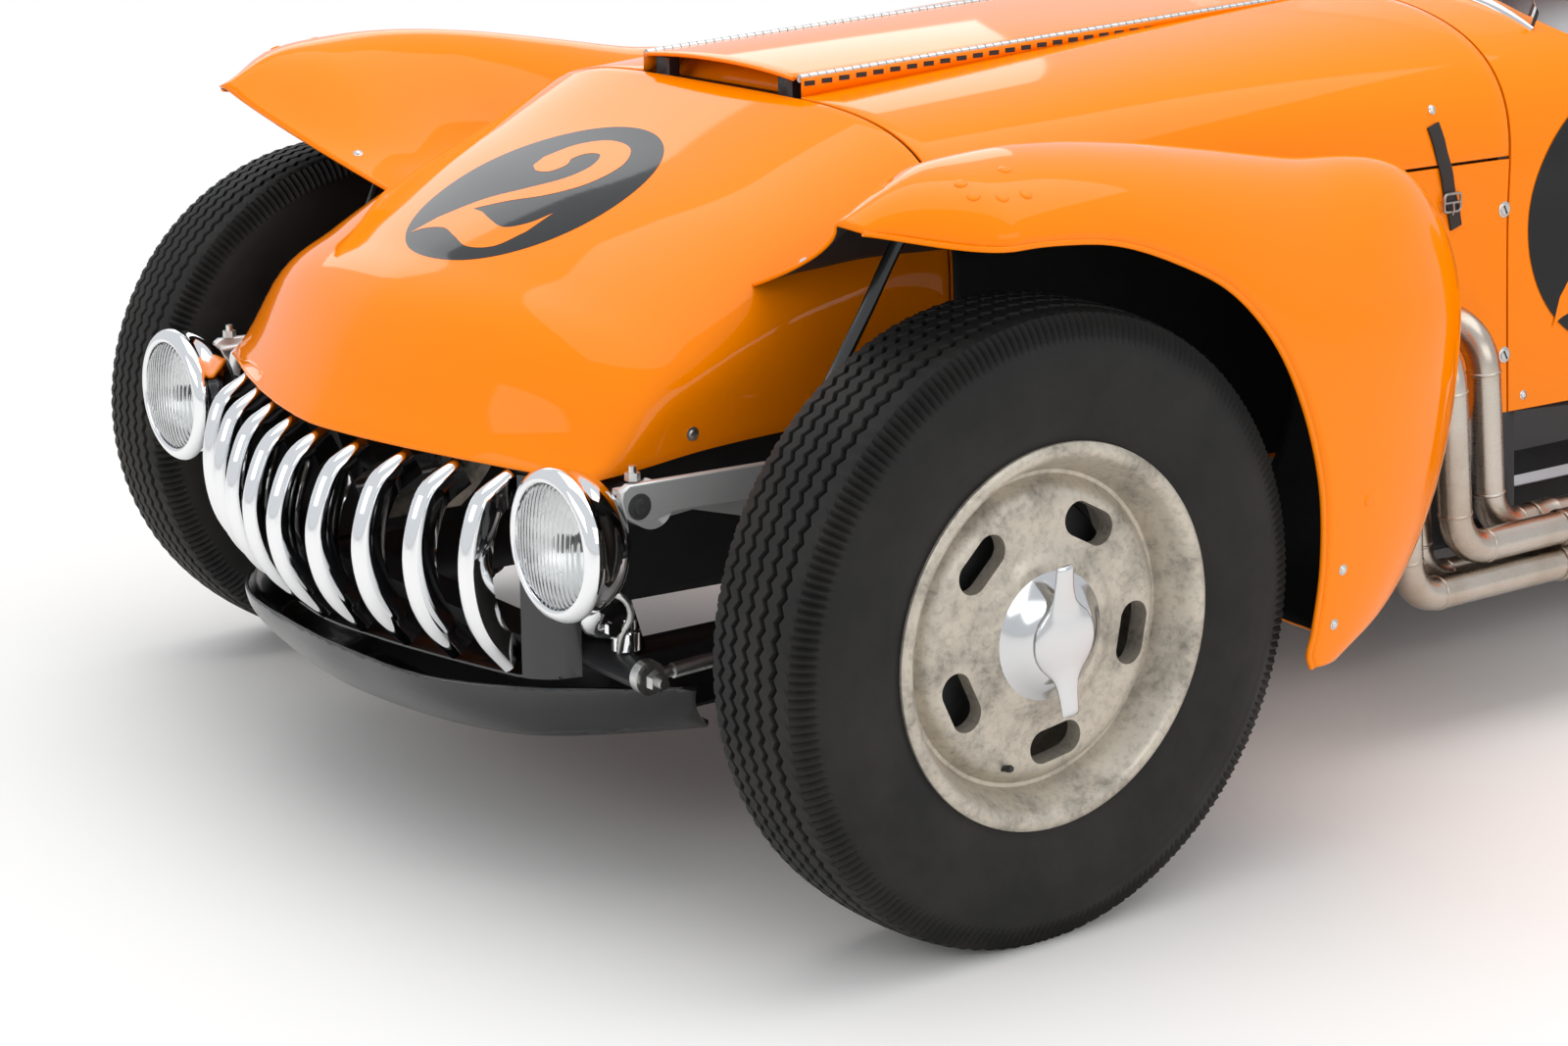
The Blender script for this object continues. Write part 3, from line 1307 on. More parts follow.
# ---- wheels and hubs -------------------------------------------------------------------------
def placed_twins(bm, name, material, node=None, angle=38, bevel=0.0):
    """Put a wheel-centred bmesh at all four corners, facing outboard."""
    base = bpy.data.meshes.new(name)
    bm.to_mesh(base)
    bm.free()
    for corner, (axle, side) in CORNERS.items():
        mesh = base.copy()
        turn = Matrix.Identity(4) if side > 0 else Matrix.Rotation(math.pi, 4, "Z")
        mesh.transform(Matrix.Translation(metres(axle, side * HALF_TRACK, AXLE_HEIGHT)) @ turn)
        obj = bpy.data.objects.new(name + "_" + corner, mesh)
        bpy.context.scene.collection.objects.link(obj)
        shade(obj, angle)
        mesh.materials.append(material)
        if bevel:
            bevel_edges(obj, bevel, 2, 45)
        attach(obj, "wheel_" + corner + "_body")
        if node:
            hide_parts(node + "_" + corner)
    bpy.data.meshes.remove(base)


WHEEL_OUTLINE = [
    (217, 82), (220, 80), (220.5, 77), (218, 74.5), (209, 74), (205, 73), (204, 69), (204, 47), (198, 40),
    (188, 33), (184, 28), (184, -28), (190, -36), (204, -47), (204, -76), (219, -77.5), (220, -82),
    (203, -82),
    (199, -78), (199, -50), (186, -40), (179, -32), (179, 14), (172, 20), (160, 27), (146, 34), (120, 38),
    (60, 38), (40.4, 38), (40.4, 66), (60, 66.5), (80, 66), (88, 64.5), (94, 60.5), (102, 58), (118, 57),
    (146, 57),
    (156, 56.2), (163, 53), (169, 47), (173, 40), (176.5, 36), (181, 36.5), (184, 41), (188, 50), (192, 58),
    (197, 68), (201, 76), (205, 80.5), (210, 82.5)]


class CAR_OT_wheels(bpy.types.Operator):
    """Make the cast wheels with rounded slots, valve stems, hub cones and two-eared spinners"""
    bl_idname = "racing_car.wheels"
    bl_label = "Wheels"

    def execute(self, context):
        bm = bmesh.new()
        outline = [(r * MM, y * MM) for r, y in WHEEL_OUTLINE]
        turned(bm, outline, Vector((0, 0, 0)), (0, 1, 0), 144, closed=True)
        bmesh.ops.recalc_face_normals(bm, faces=bm.faces[:])
        rough = make_object("wheel_rough", bm)
        cutter = slot_cutters()
        mod = rough.modifiers.new("slots", "BOOLEAN")
        mod.operation = "DIFFERENCE"
        mod.solver = "EXACT"
        mod.object = cutter
        bake_modifiers(rough)
        bm = bmesh.new()
        bm.from_mesh(rough.data)
        bpy.data.objects.remove(cutter)
        bpy.data.objects.remove(rough)
        placed_twins(bm, "cast_wheel", FINISHES["aged_magnesium"], "wheel", angle=32,
                     bevel=0.0028)
        hub_pieces()
        valve_stems()
        return {"FINISHED"}


def slot_cutters():
    bm = bmesh.new()
    for k in range(5):
        angle = math.radians(46 + 72 * k)
        out = Vector((math.cos(angle), 0, math.sin(angle)))
        along = Vector((-math.sin(angle), 0, math.cos(angle)))
        ring = []
        for i in range(40):
            t = 2 * math.pi * i / 40
            reach = 17 * (1 if math.cos(t) >= 0 else -1)
            ring.append(((reach + 20 * math.cos(t)) * MM, 20 * math.sin(t) * MM))
        rings = sweep(bm, [Vector((0, y, 0)) for y in (0.02, 0.05, 0.09)], round_outline(1, 40))
        for y, verts in zip((0.02, 0.05, 0.09), rings):
            for v, (a, o) in zip(verts, ring):
                v.co = out * (0.131 + o) + along * a + Vector((0, y, 0))
    bmesh.ops.recalc_face_normals(bm, faces=bm.faces[:])
    return make_object("slot_cutters", bm)


SPINNER_INSET = 2.8


def hub_pieces():
    """Polished cone, spinner with two swept ears, drum behind the slots."""
    bm = bmesh.new()
    cone = [(0, 58), (78, 58), (79.5, 59.5), (79.5, 62), (77.5, 64), (75, 65), (63, 74), (52, 81.8),
            (43, 86.5),
            (37, 88), (30, 88.5), (0, 88.5)]
    turned(bm, [(max(r, 0.0001) * MM, y * MM) for r, y in cone], Vector((0, 0, 0)), (0, 1, 0), 96)
    bmesh.ops.recalc_face_normals(bm, faces=bm.faces[:])
    placed_twins(bm, "hub_cone", FINISHES["polished_aluminium"], "hub", angle=30)
    bm = bmesh.new()
    stations = [-87, -85.5, -82, -74, -64, -54, -46, -40, -34, -27, -18, -8, 0]
    stations += [-s for s in reversed(stations[:-1])]
    width = {0: 43, 8: 42.3, 18: 39.5, 27: 34, 34: 27, 40: 21, 46: 17.3, 54: 14.8, 64: 13.2, 74: 12.4,
             82: 12.0,
             85.5: 11.6, 87: 10.6}
    base = {0: 86, 8: 86, 18: 86, 27: 86.2, 34: 86.8, 40: 87.6, 46: 88.6, 54: 90, 64: 91.5, 74: 92.8,
            82: 93.8,
            85.5: 94.6, 87: 96}
    top = {0: 100.5, 8: 100.3, 18: 99.6, 27: 98.6, 34: 98.2, 40: 98.6, 46: 99.0, 54: 99.6, 64: 100.4,
           74: 101.2,
           82: 101.6, 85.5: 101, 87: 99.4}
    outline = box_outline(2.0, 2.0, 0.86, 5)
    rings = sweep(bm, [Vector((0, 0, s * MM)) for s in stations], outline, up=Vector((0, 1, 0)))
    for s, verts in zip(stations, rings):
        w, low, high = width[abs(s)], base[abs(s)], top[abs(s)]
        for v, (a, b) in zip(verts, outline):
            crown = 1 - 0.35 * (a * a) * (1 if b > 0 else 0)
            y = lerp(low, high, (b * crown + 1) / 2) - SPINNER_INSET
            v.co = metres(a * w, y, s)
    bmesh.ops.rotate(bm, cent=(0, 0, 0), matrix=Matrix.Rotation(math.radians(4), 3, "Y"), verts=bm.verts[:])
    bmesh.ops.recalc_face_normals(bm, faces=bm.faces[:])
    placed_twins(bm, "hub_spinner", FINISHES["polished_aluminium"], None, angle=50)
    bm = bmesh.new()
    drum = [(22, -50), (134, -50), (134, -76), (152, -76), (152, -70), (149, -66), (149, -62), (152, -58),
            (152, -50),
            (149, -46), (149, -42), (152, -38), (152, -30), (149, -26), (149, -22), (152, -18), (152, -4),
            (148, 2),
            (60, 6), (38, 14), (38, 60), (22, 60)]
    lathe(bm, drum, Vector((0, 0, 0)), (0, 1, 0), 72, closed=True)
    bmesh.ops.recalc_face_normals(bm, faces=bm.faces[:])
    placed_twins(bm, "brake_drum", FINISHES["dark_iron"], None, angle=30)


def valve_stems():
    bm = bmesh.new()
    angle = math.radians(-69)
    out = Vector((math.cos(angle), 0, math.sin(angle)))
    outline = [(0.0001, 30), (5.5, 30), (5.8, 44), (4.6, 47), (3.6, 49), (3.6, 62), (4.2, 62.5), (4.4, 68),
               (3.4, 70.5), (0.0001, 71)]
    lathe(bm, outline, out * 0.170, (out * 0.25 * -1 + Vector((0, 1, 0))), 16)
    bmesh.ops.recalc_face_normals(bm, faces=bm.faces[:])
    placed_twins(bm, "valve_stem", FINISHES["black_satin"], None, angle=30)


# ---- grille and chin -------------------------------------------------------------------------
GRILLE_LINE = [(454, 392, 511.4), (499, 434, 487), (523, 452, 448), (535, 459, 400), (527, 453, 350),
               (505, 436, 309),
               (466, 404, 270.3)]
BAR_COUNT = 9
BAR_PITCH = 80


def grille_x(centre, end, y):
    share = (abs(y) / 320) ** 1.5
    return FRONT_AXLE + centre + (end - centre) * share


class CAR_OT_grille(bpy.types.Operator):
    """Make the chromed bars, the black surround and the chin pan"""
    bl_idname = "racing_car.grille"
    bl_label = "Grille"

    def execute(self, context):
        width = context.scene.racing_sizes.bar_width
        for i in range(BAR_COUNT):
            y = BAR_PITCH * (i - (BAR_COUNT - 1) / 2)
            self.bar(i, y, width)
        shelves = copy_piece("grille_shelves", "grille_surround", CAR,
                             FINISHES["black_enamel"], bevel=0.0008)
        edge = (FRONT_AXLE + 330) * MM
        for v in shelves.data.vertices:
            if abs(v.co.y) > 0.336 and v.co.x > edge:
                v.co.x = edge + (v.co.x - edge) * 0.62
        copy_piece("chin_pan_shell", "chin_pan", CAR, FINISHES["black_enamel"],
                   angle=50)
        return {"FINISHED"}

    def bar(self, i, y, width):
        """One D-section bar, chrome over a folded steel back."""
        bm = bmesh.new()
        half = width * 0.55
        deep = 0.036
        outline = [(half, -deep), (half, -0.012)]
        for k in range(1, 10):
            a = math.pi * k / 10
            outline.append((half * math.cos(a), -0.012 + 0.0115 * math.sin(a)))
        outline += [(-half, -0.012), (-half, -deep)]
        path = []
        for k in range(33):
            p = spline_at([(grille_x(c, e, y), y, z) for c, e, z in GRILLE_LINE], k / 32)
            path.append(metres(p.x, p.y, p.z))
        count = len(path)
        rings = sweep(bm, path, outline, up=Vector((1, 0, 0)))
        for k, verts in enumerate(rings):
            share = k / (count - 1)
            near = min(share, 1 - share)
            taper = 0.74 + 0.26 * smooth_step(0.0, 0.14, near)
            at = path[k]
            for v in verts:
                v.co.y = at.y + (v.co.y - at.y) * taper
        add_piece("grille_bar_%d" % (i + 1), bm, CAR, FINISHES["polished_chrome"],
                  ("grille_bars",), angle=48)


# ---- lamps -----------------------------------------------------------------------------------
LAMP = (FRONT_AXLE + 431, 469, 458)


def both_lamps(bm, name, material, node=None, angle=38):
    add_pair(name, bm, material, (node,) if node else (), angle)


class CAR_OT_headlamps(bpy.types.Operator):
    """Make the bullet headlamps with bezel, fluted lens, reflector, bulb and bracket"""
    bl_idname = "racing_car.headlamps"
    bl_label = "Headlamps"

    def execute(self, context):
        centre = metres(*LAMP)
        axis = (1, 0, 0)
        bm = bmesh.new()
        shell = [(88, -10), (87.6, -13), (86.2, -16), (84.6, -20)]
        for i in range(1, 15):
            a = math.pi / 2 * i / 14
            shell.append((84.6 * math.cos(a) ** 0.82 if i < 14 else 0.0001, -20 - 64 * math.sin(a)))
        turned(bm, [(max(r, 0.0001) * MM, x * MM) for r, x in [(70, -10)] + shell], centre, axis, 72)
        both_lamps(bm, "lamp_bowl", FINISHES["polished_chrome"], "headlamps")
        bm = bmesh.new()
        ring = [(70.4, -9), (70.4, -2), (71.2, 0.6), (73, 2), (75.5, 2.4), (79.5, 1.4), (83, -0.8),
                (85.6, -3.6),
                (87.4, -6.6), (88, -9.4), (88, -11.6), (84, -11.6), (84, -9)]
        lathe(bm, ring, centre, axis, 96, closed=True)
        both_lamps(bm, "lamp_bezel", FINISHES["polished_chrome"])
        self.lens(centre)
        self.inside(centre)
        self.bracket()
        return {"FINISHED"}

    def lens(self, centre):
        bm = bmesh.new()
        face = [(0.0001, 10.6), (12, 10.5), (24, 10), (36, 8.9), (48, 7), (58, 4.6), (65, 1.8), (69, -1),
                (70, -3.4),
                (70, -6), (68, -6), (67.5, -4), (64, -1.6), (57, 1.2), (47, 3.8), (35, 5.8), (23, 7),
                (12, 7.5),
                (0.0001, 7.6)]
        lathe(bm, face, centre, (1, 0, 0), 96)
        both_lamps(bm, "lamp_lens", FINISHES["lamp_glass"], "headlamp_lenses")
        bm = bmesh.new()
        for y, z in ((-34, -22), (34, -22), (0, 42)):
            at = centre + Vector((0.0085, y * MM, z * MM))
            outline = [(0.0001, 1.8), (2.4, 1.6), (3.2, 0.6), (3.4, -2)]
            lathe(bm, outline, at, (1, 0, 0), 16)
        both_lamps(bm, "lamp_aiming_pads", FINISHES["lamp_glass"])

    def inside(self, centre):
        bm = bmesh.new()
        bowl = [(67, -7)] + [(67 * math.sqrt(1 - t), -7 - 40 * t)
                             for t in (0.15, 0.3, 0.45, 0.6, 0.72, 0.82, 0.9, 0.96)]
        bowl += [(10, -46), (0.0001, -46.4)]
        lathe(bm, bowl, centre, (1, 0, 0), 64)
        add_pair("lamp_reflector", bm, FINISHES["lamp_silver"])
        bm = bmesh.new()
        bulb = [(0.0001, -16), (6, -17), (10, -20), (11, -25), (9, -30), (5, -34), (4.4, -44)]
        lathe(bm, bulb, centre, (1, 0, 0), 24)
        both_lamps(bm, "lamp_bulb_shield", FINISHES["dark_iron"])

    def bracket(self):
        """Turned post, swivel clamp and bolt under each bowl."""
        x, y, z = LAMP
        chrome = FINISHES["polished_chrome"]
        bm = bmesh.new()
        foot = (1581, y - 40, 306.3)
        path = [metres(x - 62, y, z - 66), metres(x - 62, y - 4, z - 84), metres(x - 62, y - 16, z - 100),
                metres(x - 74, y - 28, z - 112), metres(x - 96, y - 34, z - 120),
                metres(foot[0] + 6, y - 38, z - 126)]
        fine = [spline_at(path, i / 18) for i in range(19)]
        tube(bm, fine, 0.0115, 16)
        for height, low, radius in ((24, 0, 17), (38, 24, 12)):
            outline = [(0.0001, low), (radius - 1.5, low), (radius, low + 1.5), (radius, height - 1.5),
                       (radius - 1.5, height), (0.0001, height)]
            lathe(bm, outline, metres(*foot), (0, 0, 1), 32)
        for dx, dz in ((-62, -76), (-74, -104)):
            place = (Matrix.Translation(metres(x + dx, y + 12, z + dz))
                     @ Matrix.Rotation(math.pi / 2, 4, "X"))
            add_post(bm, place, 6, 0.010, 0.008)
        add_pair("lamp_post", bm, chrome, angle=35)
        bm = bmesh.new()
        wire = [(x - 70, y - 6, z - 62), (x - 92, y + 8, z - 74), (x - 104, y + 2, z - 98),
                (x - 106, y - 20, z - 128),
                (x - 116, y - 40, z - 160)]
        fine = [spline_at([metres(*p) for p in wire], i / 28) for i in range(29)]
        sizes = [1.0 + (0.10 if i % 2 else 0) for i in range(29)]
        sweep(bm, fine, round_outline(0.0042, 12), scales=sizes, carried=True)
        add_pair("lamp_conduit", bm, FINISHES["bright_zinc"], angle=50)


# ---- chassis and mechanical pieces -----------------------------------------------------------
class CAR_OT_chassis(bpy.types.Operator):
    """Finish the frame, engine, axles, steering rods and floor"""
    bl_idname = "racing_car.chassis"
    bl_label = "Chassis"

    def execute(self, context):
        table = (
            ("frame", CAR, "frame_paint", "black_satin"), ("engine_block", CAR, "engine_iron", "dark_iron"),
            ("front_axle", CAR, "axle_steel", "black_satin"),
            ("torsion_arms", CAR, "axle_steel", "arm_alloy"),
            ("radius_rods", CAR, "rod_steel", "bright_zinc"),
            ("rear_axle", CAR, "axle_steel", "black_satin"),
            ("knuckle_left", "left_knuckle", "rod_steel", "dark_iron"),
            ("knuckle_right", "right_knuckle", "rod_steel", "dark_iron"),
            ("tie_rod", "track_rod", "rod_steel", "machined_steel"),
            ("drag_link", "drag_rod", "rod_steel", "machined_steel"),
            ("pitman_arm", "drop_arm", "rod_steel", "machined_steel"),
            ("steering_gear", CAR, "rod_steel", "black_satin"),
            ("floor_pan", CAR, "bare_aluminium", "aluminium_sheet"))
        for node, body, slot, finish in table:
            copy_piece(node + "_finished", node, body, FINISHES[finish], angle=35,
                       bevel=0.0012 if node in ("torsion_arms", "radius_rods", "frame") else 0.0)
        for v in bpy.data.objects["torsion_arms_finished"].data.vertices:
            if v.co.x > 1.585:
                v.co.z = min(v.co.z, 0.513)
        self.suspension_details()
        self.arm_plates()
        return {"FINISHED"}

    def arm_plates(self):
        """Flat polished arms that run back from the torsion bar, with a washer and bolt."""
        bm = bmesh.new()
        outline = [(1618, 520), (1628, 514), (1630, 502), (1624, 484), (1608, 473), (1588, 474),
                   (1560, 481),
                   (1390, 478), (1390, 516), (1570, 519)]
        verts = [bm.verts.new(metres(x, 487, z)) for x, z in outline]
        face = bm.faces.new(verts)
        made = bmesh.ops.extrude_face_region(bm, geom=[face])
        bmesh.ops.translate(bm, vec=(0, 0.012, 0),
                            verts=[v for v in made["geom"] if isinstance(v, bmesh.types.BMVert)])
        bmesh.ops.recalc_face_normals(bm, faces=bm.faces[:])
        plate = add_piece("torsion_plate_left", bm, CAR, FINISHES["arm_alloy"], angle=30)
        bevel_edges(plate, 0.0022, 3)
        mirrored_mesh(plate, "torsion_plate_right", CAR)
        bm = bmesh.new()
        outline = [(0.0001, 0), (15, 0), (15, 1.6), (9, 1.8), (8.6, 4.2), (4, 4.4), (3.6, 3.2),
                   (0.0001, 3.0)]
        lathe(bm, outline, metres(1606, 498.5, 494), (0, 1, 0), 32)
        add_pair("torsion_washer", bm, FINISHES["dark_iron"], angle=30)

    def suspension_details(self):
        """Clamp bolts, hexagon nuts and rod-end balls at the front."""
        bm = bmesh.new()
        for x, z, r, h in ((1587, 288, 13, 11), (1275, 420, 12, 10), (1275, 300, 12, 10)):
            self.nut(bm, metres(x, 498.5, z), (0, 1, 0), r, h)
        self.nut(bm, metres(1606, 486, 524), (0, 0, 1), 9, 9)
        add_pair("front_nuts", bm, FINISHES["bright_zinc"], angle=30)

    def nut(self, bm, at, axis, radius, height):
        for sides, r, h, lift in ((6, radius, height, 0.5), (16, radius * 0.52, height * 1.7, 0.85)):
            place = Matrix.Translation(at + Vector(axis) * h * lift * MM * 0.5) @ turned_to(axis)
            add_post(bm, place, sides, r * MM, h * MM, 0.97)


# ---- exhausts --------------------------------------------------------------------------------
PIPE_RADIUS = 22.5


def pipe_path(index):
    """Centre line of one primary: out, down and back, with round bends."""
    x = FRONT_AXLE - 975 + 70 * index
    run_y = 552 if index % 2 == 0 else 602
    run_z = 256 if index < 2 else 206
    ahead = 50 if index == 1 else 0
    corners = [Vector((x, 440, 540)), Vector((x + ahead, run_y, 540)),
               Vector((x + ahead - 36, run_y, run_z)), Vector((COLLECTOR_FRONT, run_y, run_z))]
    points = [corners[0]]
    for a, b, c in zip(corners, corners[1:], corners[2:]):
        one, two = (a - b).normalized(), (c - b).normalized()
        angle = one.angle(two)
        setback = 62 / math.tan(angle / 2)
        middle = (one + two).normalized()
        centre = b + middle * (62 / math.sin(angle / 2))
        start, end = b + one * setback, b + two * setback
        for i in range(15):
            t = i / 14
            ray = (start - centre).normalized().slerp((end - centre).normalized(), t)
            points.append(centre + ray * 62)
    points.append(corners[-1])
    return [p * MM for p in points]


class CAR_OT_exhausts(bpy.types.Operator):
    """Make the welded side pipes, collectors, tailpipes and hangers"""
    bl_idname = "racing_car.exhausts"
    bl_label = "Exhausts"

    def execute(self, context):
        steel = FINISHES["exhaust_stainless"]
        bm = bmesh.new()
        welds = bmesh.new()
        for index in range(4):
            path = pipe_path(index)
            tube(bm, path, PIPE_RADIUS * MM, 28)
            for k in (1, 15, 16, 30):
                self.weld(welds, path, k)
            bmesh.ops.remove_doubles(bm, verts=bm.verts[:], dist=1e-7)
        self.collector(bm)
        add_pair("side_pipes", bm, steel, ("exhausts",), angle=40)
        add_pair("pipe_welds", welds, steel, angle=60)
        self.flanges()
        self.closing_plate()
        return {"FINISHED"}

    def closing_plate(self):
        """Disc on the side panel round the pipe that leaves it at a slant."""
        bm = bmesh.new()
        x, z = FRONT_AXLE - 902, 540
        p, out = on_side(x, z)
        outline = [(0.0001, 2.4), (34, 2.4), (35, 1.6), (35, 0.4), (0.0001, 0.4)]
        lathe(bm, outline, p, out, 40)
        add_pair("pipe_closing_plate", bm, FINISHES["orange_gloss"], angle=30)

    def weld(self, bm, path, k):
        axis = (path[min(k + 1, len(path) - 1)] - path[k - 1]).normalized()
        outline = [(22.3, -2.2), (23.2, -1.6), (23.7, -0.6), (23.7, 0.6), (23.2, 1.6), (22.3, 2.2)]
        lathe(bm, outline, path[k], axis, 36, closed=True)

    def collector(self, bm):
        x = COLLECTOR_FRONT
        stations = [(x + 6, 98, 98, 24), (x - 20, 98, 98, 30), (x - 60, 92, 92, 38), (x - 95, 82, 82, 39),
                    (x - 120, 76, 76, 37.9),
                    (-250, 76, 76, 37.9), (-485, 76, 76, 37.9)]
        centre = (577, 231)
        outline = box_outline(2, 2, 0.9, 7)
        rings = sweep(bm, [metres(s[0], centre[0], centre[1]) for s in stations], outline)
        for (sx, w, h, c), verts in zip(stations, rings):
            shape = box_outline(w * MM, h * MM, min(c, w / 2 - 0.05) * MM, 7)
            for v, (a, b) in zip(verts, shape):
                v.co = Vector((sx * MM, centre[0] * MM + a, centre[1] * MM + b))
        end = [f for f in bm.faces if len(f.verts) > 20 and abs(f.calc_center_median().x + 0.485) < 0.001]
        if end:
            bmesh.ops.inset_region(bm, faces=end, thickness=0.003)
            bmesh.ops.translate(bm, vec=(0.055, 0, 0), verts=list({v for f in end for v in f.verts}))
        add_box(bm, Matrix.Translation(metres(-90, 540, 334.5)), 0.030, 0.074, 0.006)

    def flanges(self):
        """Slip collars where the primaries meet, with their clamp bolts."""
        bm = bmesh.new()
        for y, z in ((602, 256), (552, 256), (602, 206), (552, 206)):
            outline = [(22.6, -24), (25, -23), (25.6, -20), (24.8, -17), (24.8, 17), (25.6, 20), (25, 23),
                       (22.6, 24)]
            lathe(bm, outline, metres(160, y, z), (1, 0, 0), 36, closed=True)
        add_box(bm, Matrix.Translation(metres(120, 577, 181)), 0.034, 0.058, 0.005)
        add_pair("pipe_collars", bm, FINISHES["exhaust_stainless"], angle=30)


# ---- fasteners and small trim ----------------------------------------------------------------
def screw_head(bm, at, out, radius=6.0):
    """Raised screw head with a cup washer."""
    out = Vector(out).normalized()
    outline = [(radius * 1.45, 0), (radius * 1.45, 0.7), (radius * 1.1, 1.4), (radius * 1.0, 1.2),
               (radius, 2.2),
               (radius * 0.75, 3.1), (radius * 0.35, 3.5), (0.0001, 3.6)]
    lathe(bm, outline, at, out, 20)


def rivet_head(bm, at, out, radius):
    out = Vector(out).normalized()
    outline = [(radius, -0.3), (radius * 0.97, 0.5), (radius * 0.8, 1.25), (radius * 0.5, 1.75),
               (0.0001, 2.0)]
    lathe(bm, outline, at, out, 14)


def on_side(x, z, lift=0.0):
    """Point and outward direction on the left side of the body."""
    y = body_half_width(x, z)
    dy_dz = (body_half_width(x, z + 4) - body_half_width(x, z - 4)) / 8
    dy_dx = (body_half_width(x + 4, z) - body_half_width(x - 4, z)) / 8
    out = Vector((-dy_dx, 1, -dy_dz)).normalized()
    return metres(x, y + lift, z), out


def on_fender(fender, axle, t, s):
    """Point and outward direction on a left fender, t along it and s from its edge."""
    def at(tt, ss):
        points = fender_line(fender, axle, tt)
        lengths = lengths_along(points)
        return point_at(points, lengths, lengths[-1] * ss)
    here = at(t, s)
    along = at(min(1, t + 0.01), s) - at(max(0, t - 0.01), s)
    across = at(t, min(1, s + 0.01)) - at(t, max(0, s - 0.01))
    out = along.cross(across).normalized()
    centre = Vector((axle, 600, AXLE_HEIGHT))
    if out.dot(here - centre) < 0:
        out = -out
    return here * MM, out


class CAR_OT_fasteners(bpy.types.Operator):
    """Make rivets, screws, slotted panel fasteners, straps and buckles"""
    bl_idname = "racing_car.fasteners"
    bl_label = "Fasteners"

    def execute(self, context):
        radius = context.scene.racing_sizes.rivet_radius / MM
        bm = bmesh.new()
        for t, s in ((0.155, 0.225), (0.103, 0.199), (0.101, 0.142), (0.124, 0.126), (0.150, 0.124),
                     (0.730, 0.126)):
            p, out = on_fender(FRONT_FENDER, FRONT_AXLE, t, s)
            rivet_head(bm, p, out, radius * 1.35)
        add_pair("fender_rivets", bm, FINISHES["orange_gloss"], angle=60)
        bm = bmesh.new()
        for t, s in ((0.037, 0.749), (0.780, 0.060), (0.857, 0.060)):
            p, out = on_fender(FRONT_FENDER, FRONT_AXLE, t, s)
            screw_head(bm, p, out, 4.6)
        p, out = on_side(1500, 552)
        screw_head(bm, p, out, 5.6)
        for x, z in ((149, 417), (320, 819)):
            p, out = on_side(x, z)
            screw_head(bm, p, out, 4.6)
        add_pair("panel_screws", bm, FINISHES["bright_zinc"], angle=40)
        self.slotted()
        self.straps()
        self.roundels()
        return {"FINISHED"}

    def slotted(self):
        """Quarter-turn fasteners along the rear edge of the side panels."""
        bm = bmesh.new()
        for x, z in ((187, 675), (186, 477)):
            p, out = on_side(x, z)
            outline = [(11, 0), (11, 0.8), (10, 1.5), (8.6, 1.5), (8.2, 1.1), (7.6, 2.2), (0.0001, 2.6)]
            lathe(bm, outline, p, out, 24)
        add_pair("slotted_fasteners", bm, FINISHES["bright_zinc"], angle=40)
        bm = bmesh.new()
        for x, z in ((187, 675), (186, 477)):
            p, out = on_side(x, z)
            place = Matrix.Translation(p + out * 0.0024) @ turned_to(out) @ Matrix.Rotation(0.5, 4, "Z")
            add_box(bm, place, 0.0022, 0.013, 0.0012)
        add_pair("fastener_slots", bm, FINISHES["black_satin"], angle=30)

    def straps(self):
        """Leather hood straps down each side, with a buckle and a loose end."""
        for side, tag in ((1, "left"), (-1, "right")):
            bm = bmesh.new()
            path, outs = [], []
            for i in range(25):
                p, out = on_side(lerp(326, 282, i / 24), lerp(800, 661, i / 24))
                lift = 2.2 + 0.8 * math.sin(i * 0.7) * (1 if i > 3 else 0)
                path.append(p + out * lift * MM)
                outs.append(out)
            outline = box_outline(0.022, 0.0032, 0.0012, 2)
            sweep(bm, path, outline, up=Vector((0, 1, 0)))
            obj = add_piece("hood_strap_" + tag, bm, CAR, FINISHES["strap_leather"],
                            angle=50)
            if side < 0:
                obj.data.transform(Matrix.Diagonal((1, -1, 1, 1)))
                obj.data.flip_normals()
            bm = bmesh.new()
            p, out = on_side(295, 696)
            self.buckle(bm, p + out * 0.006, out)
            obj = add_piece("strap_buckle_" + tag, bm, CAR, FINISHES["machined_steel"],
                            angle=40)
            if side < 0:
                obj.data.transform(Matrix.Diagonal((1, -1, 1, 1)))
                obj.data.flip_normals()

    def buckle(self, bm, at, out):
        turn = out.to_track_quat("Z", "Y").to_matrix()
        loop = []
        for a, b in box_outline(0.031, 0.024, 0.005, 4):
            loop.append(at + turn @ Vector((a, b, 0)))
        loop.append(loop[0].copy())
        tube(bm, loop, 0.0019, 8, capped=False)
        bar = [at + turn @ Vector((-0.017, 0, 0)), at, at + turn @ Vector((0.017, 0, 0))]
        tube(bm, bar, 0.0017, 8)
        tongue = [at + turn @ Vector((0, 0, 0.0015)), at + turn @ Vector((0, -0.008, 0.003)),
                  at + turn @ Vector((0, -0.016, 0.001))]
        tube(bm, tongue, 0.0014, 8)

    def roundels(self):
        """Painted discs with the racing number, on the nose and on both sides."""
        black, orange = FINISHES["roundel_black"], FINISHES["orange_gloss"]
        number_decal("nose", NoseSurface(), 168, CAR, black, orange)
        for side, tag in ((1, "left"), (-1, "right")):
            surface = SideSurface(side)
            number_decal("cowl_" + tag, surface, 179, CAR, black, orange,
                         keep=lambda x: x > -13, proud=1.3, wide=1.3)
            door = ("left_door" if side > 0 else "right_door")
            number_decal("door_" + tag, surface, 179, door, black, orange,
                         keep=lambda x: x < -17, proud=1.3, wide=1.3)


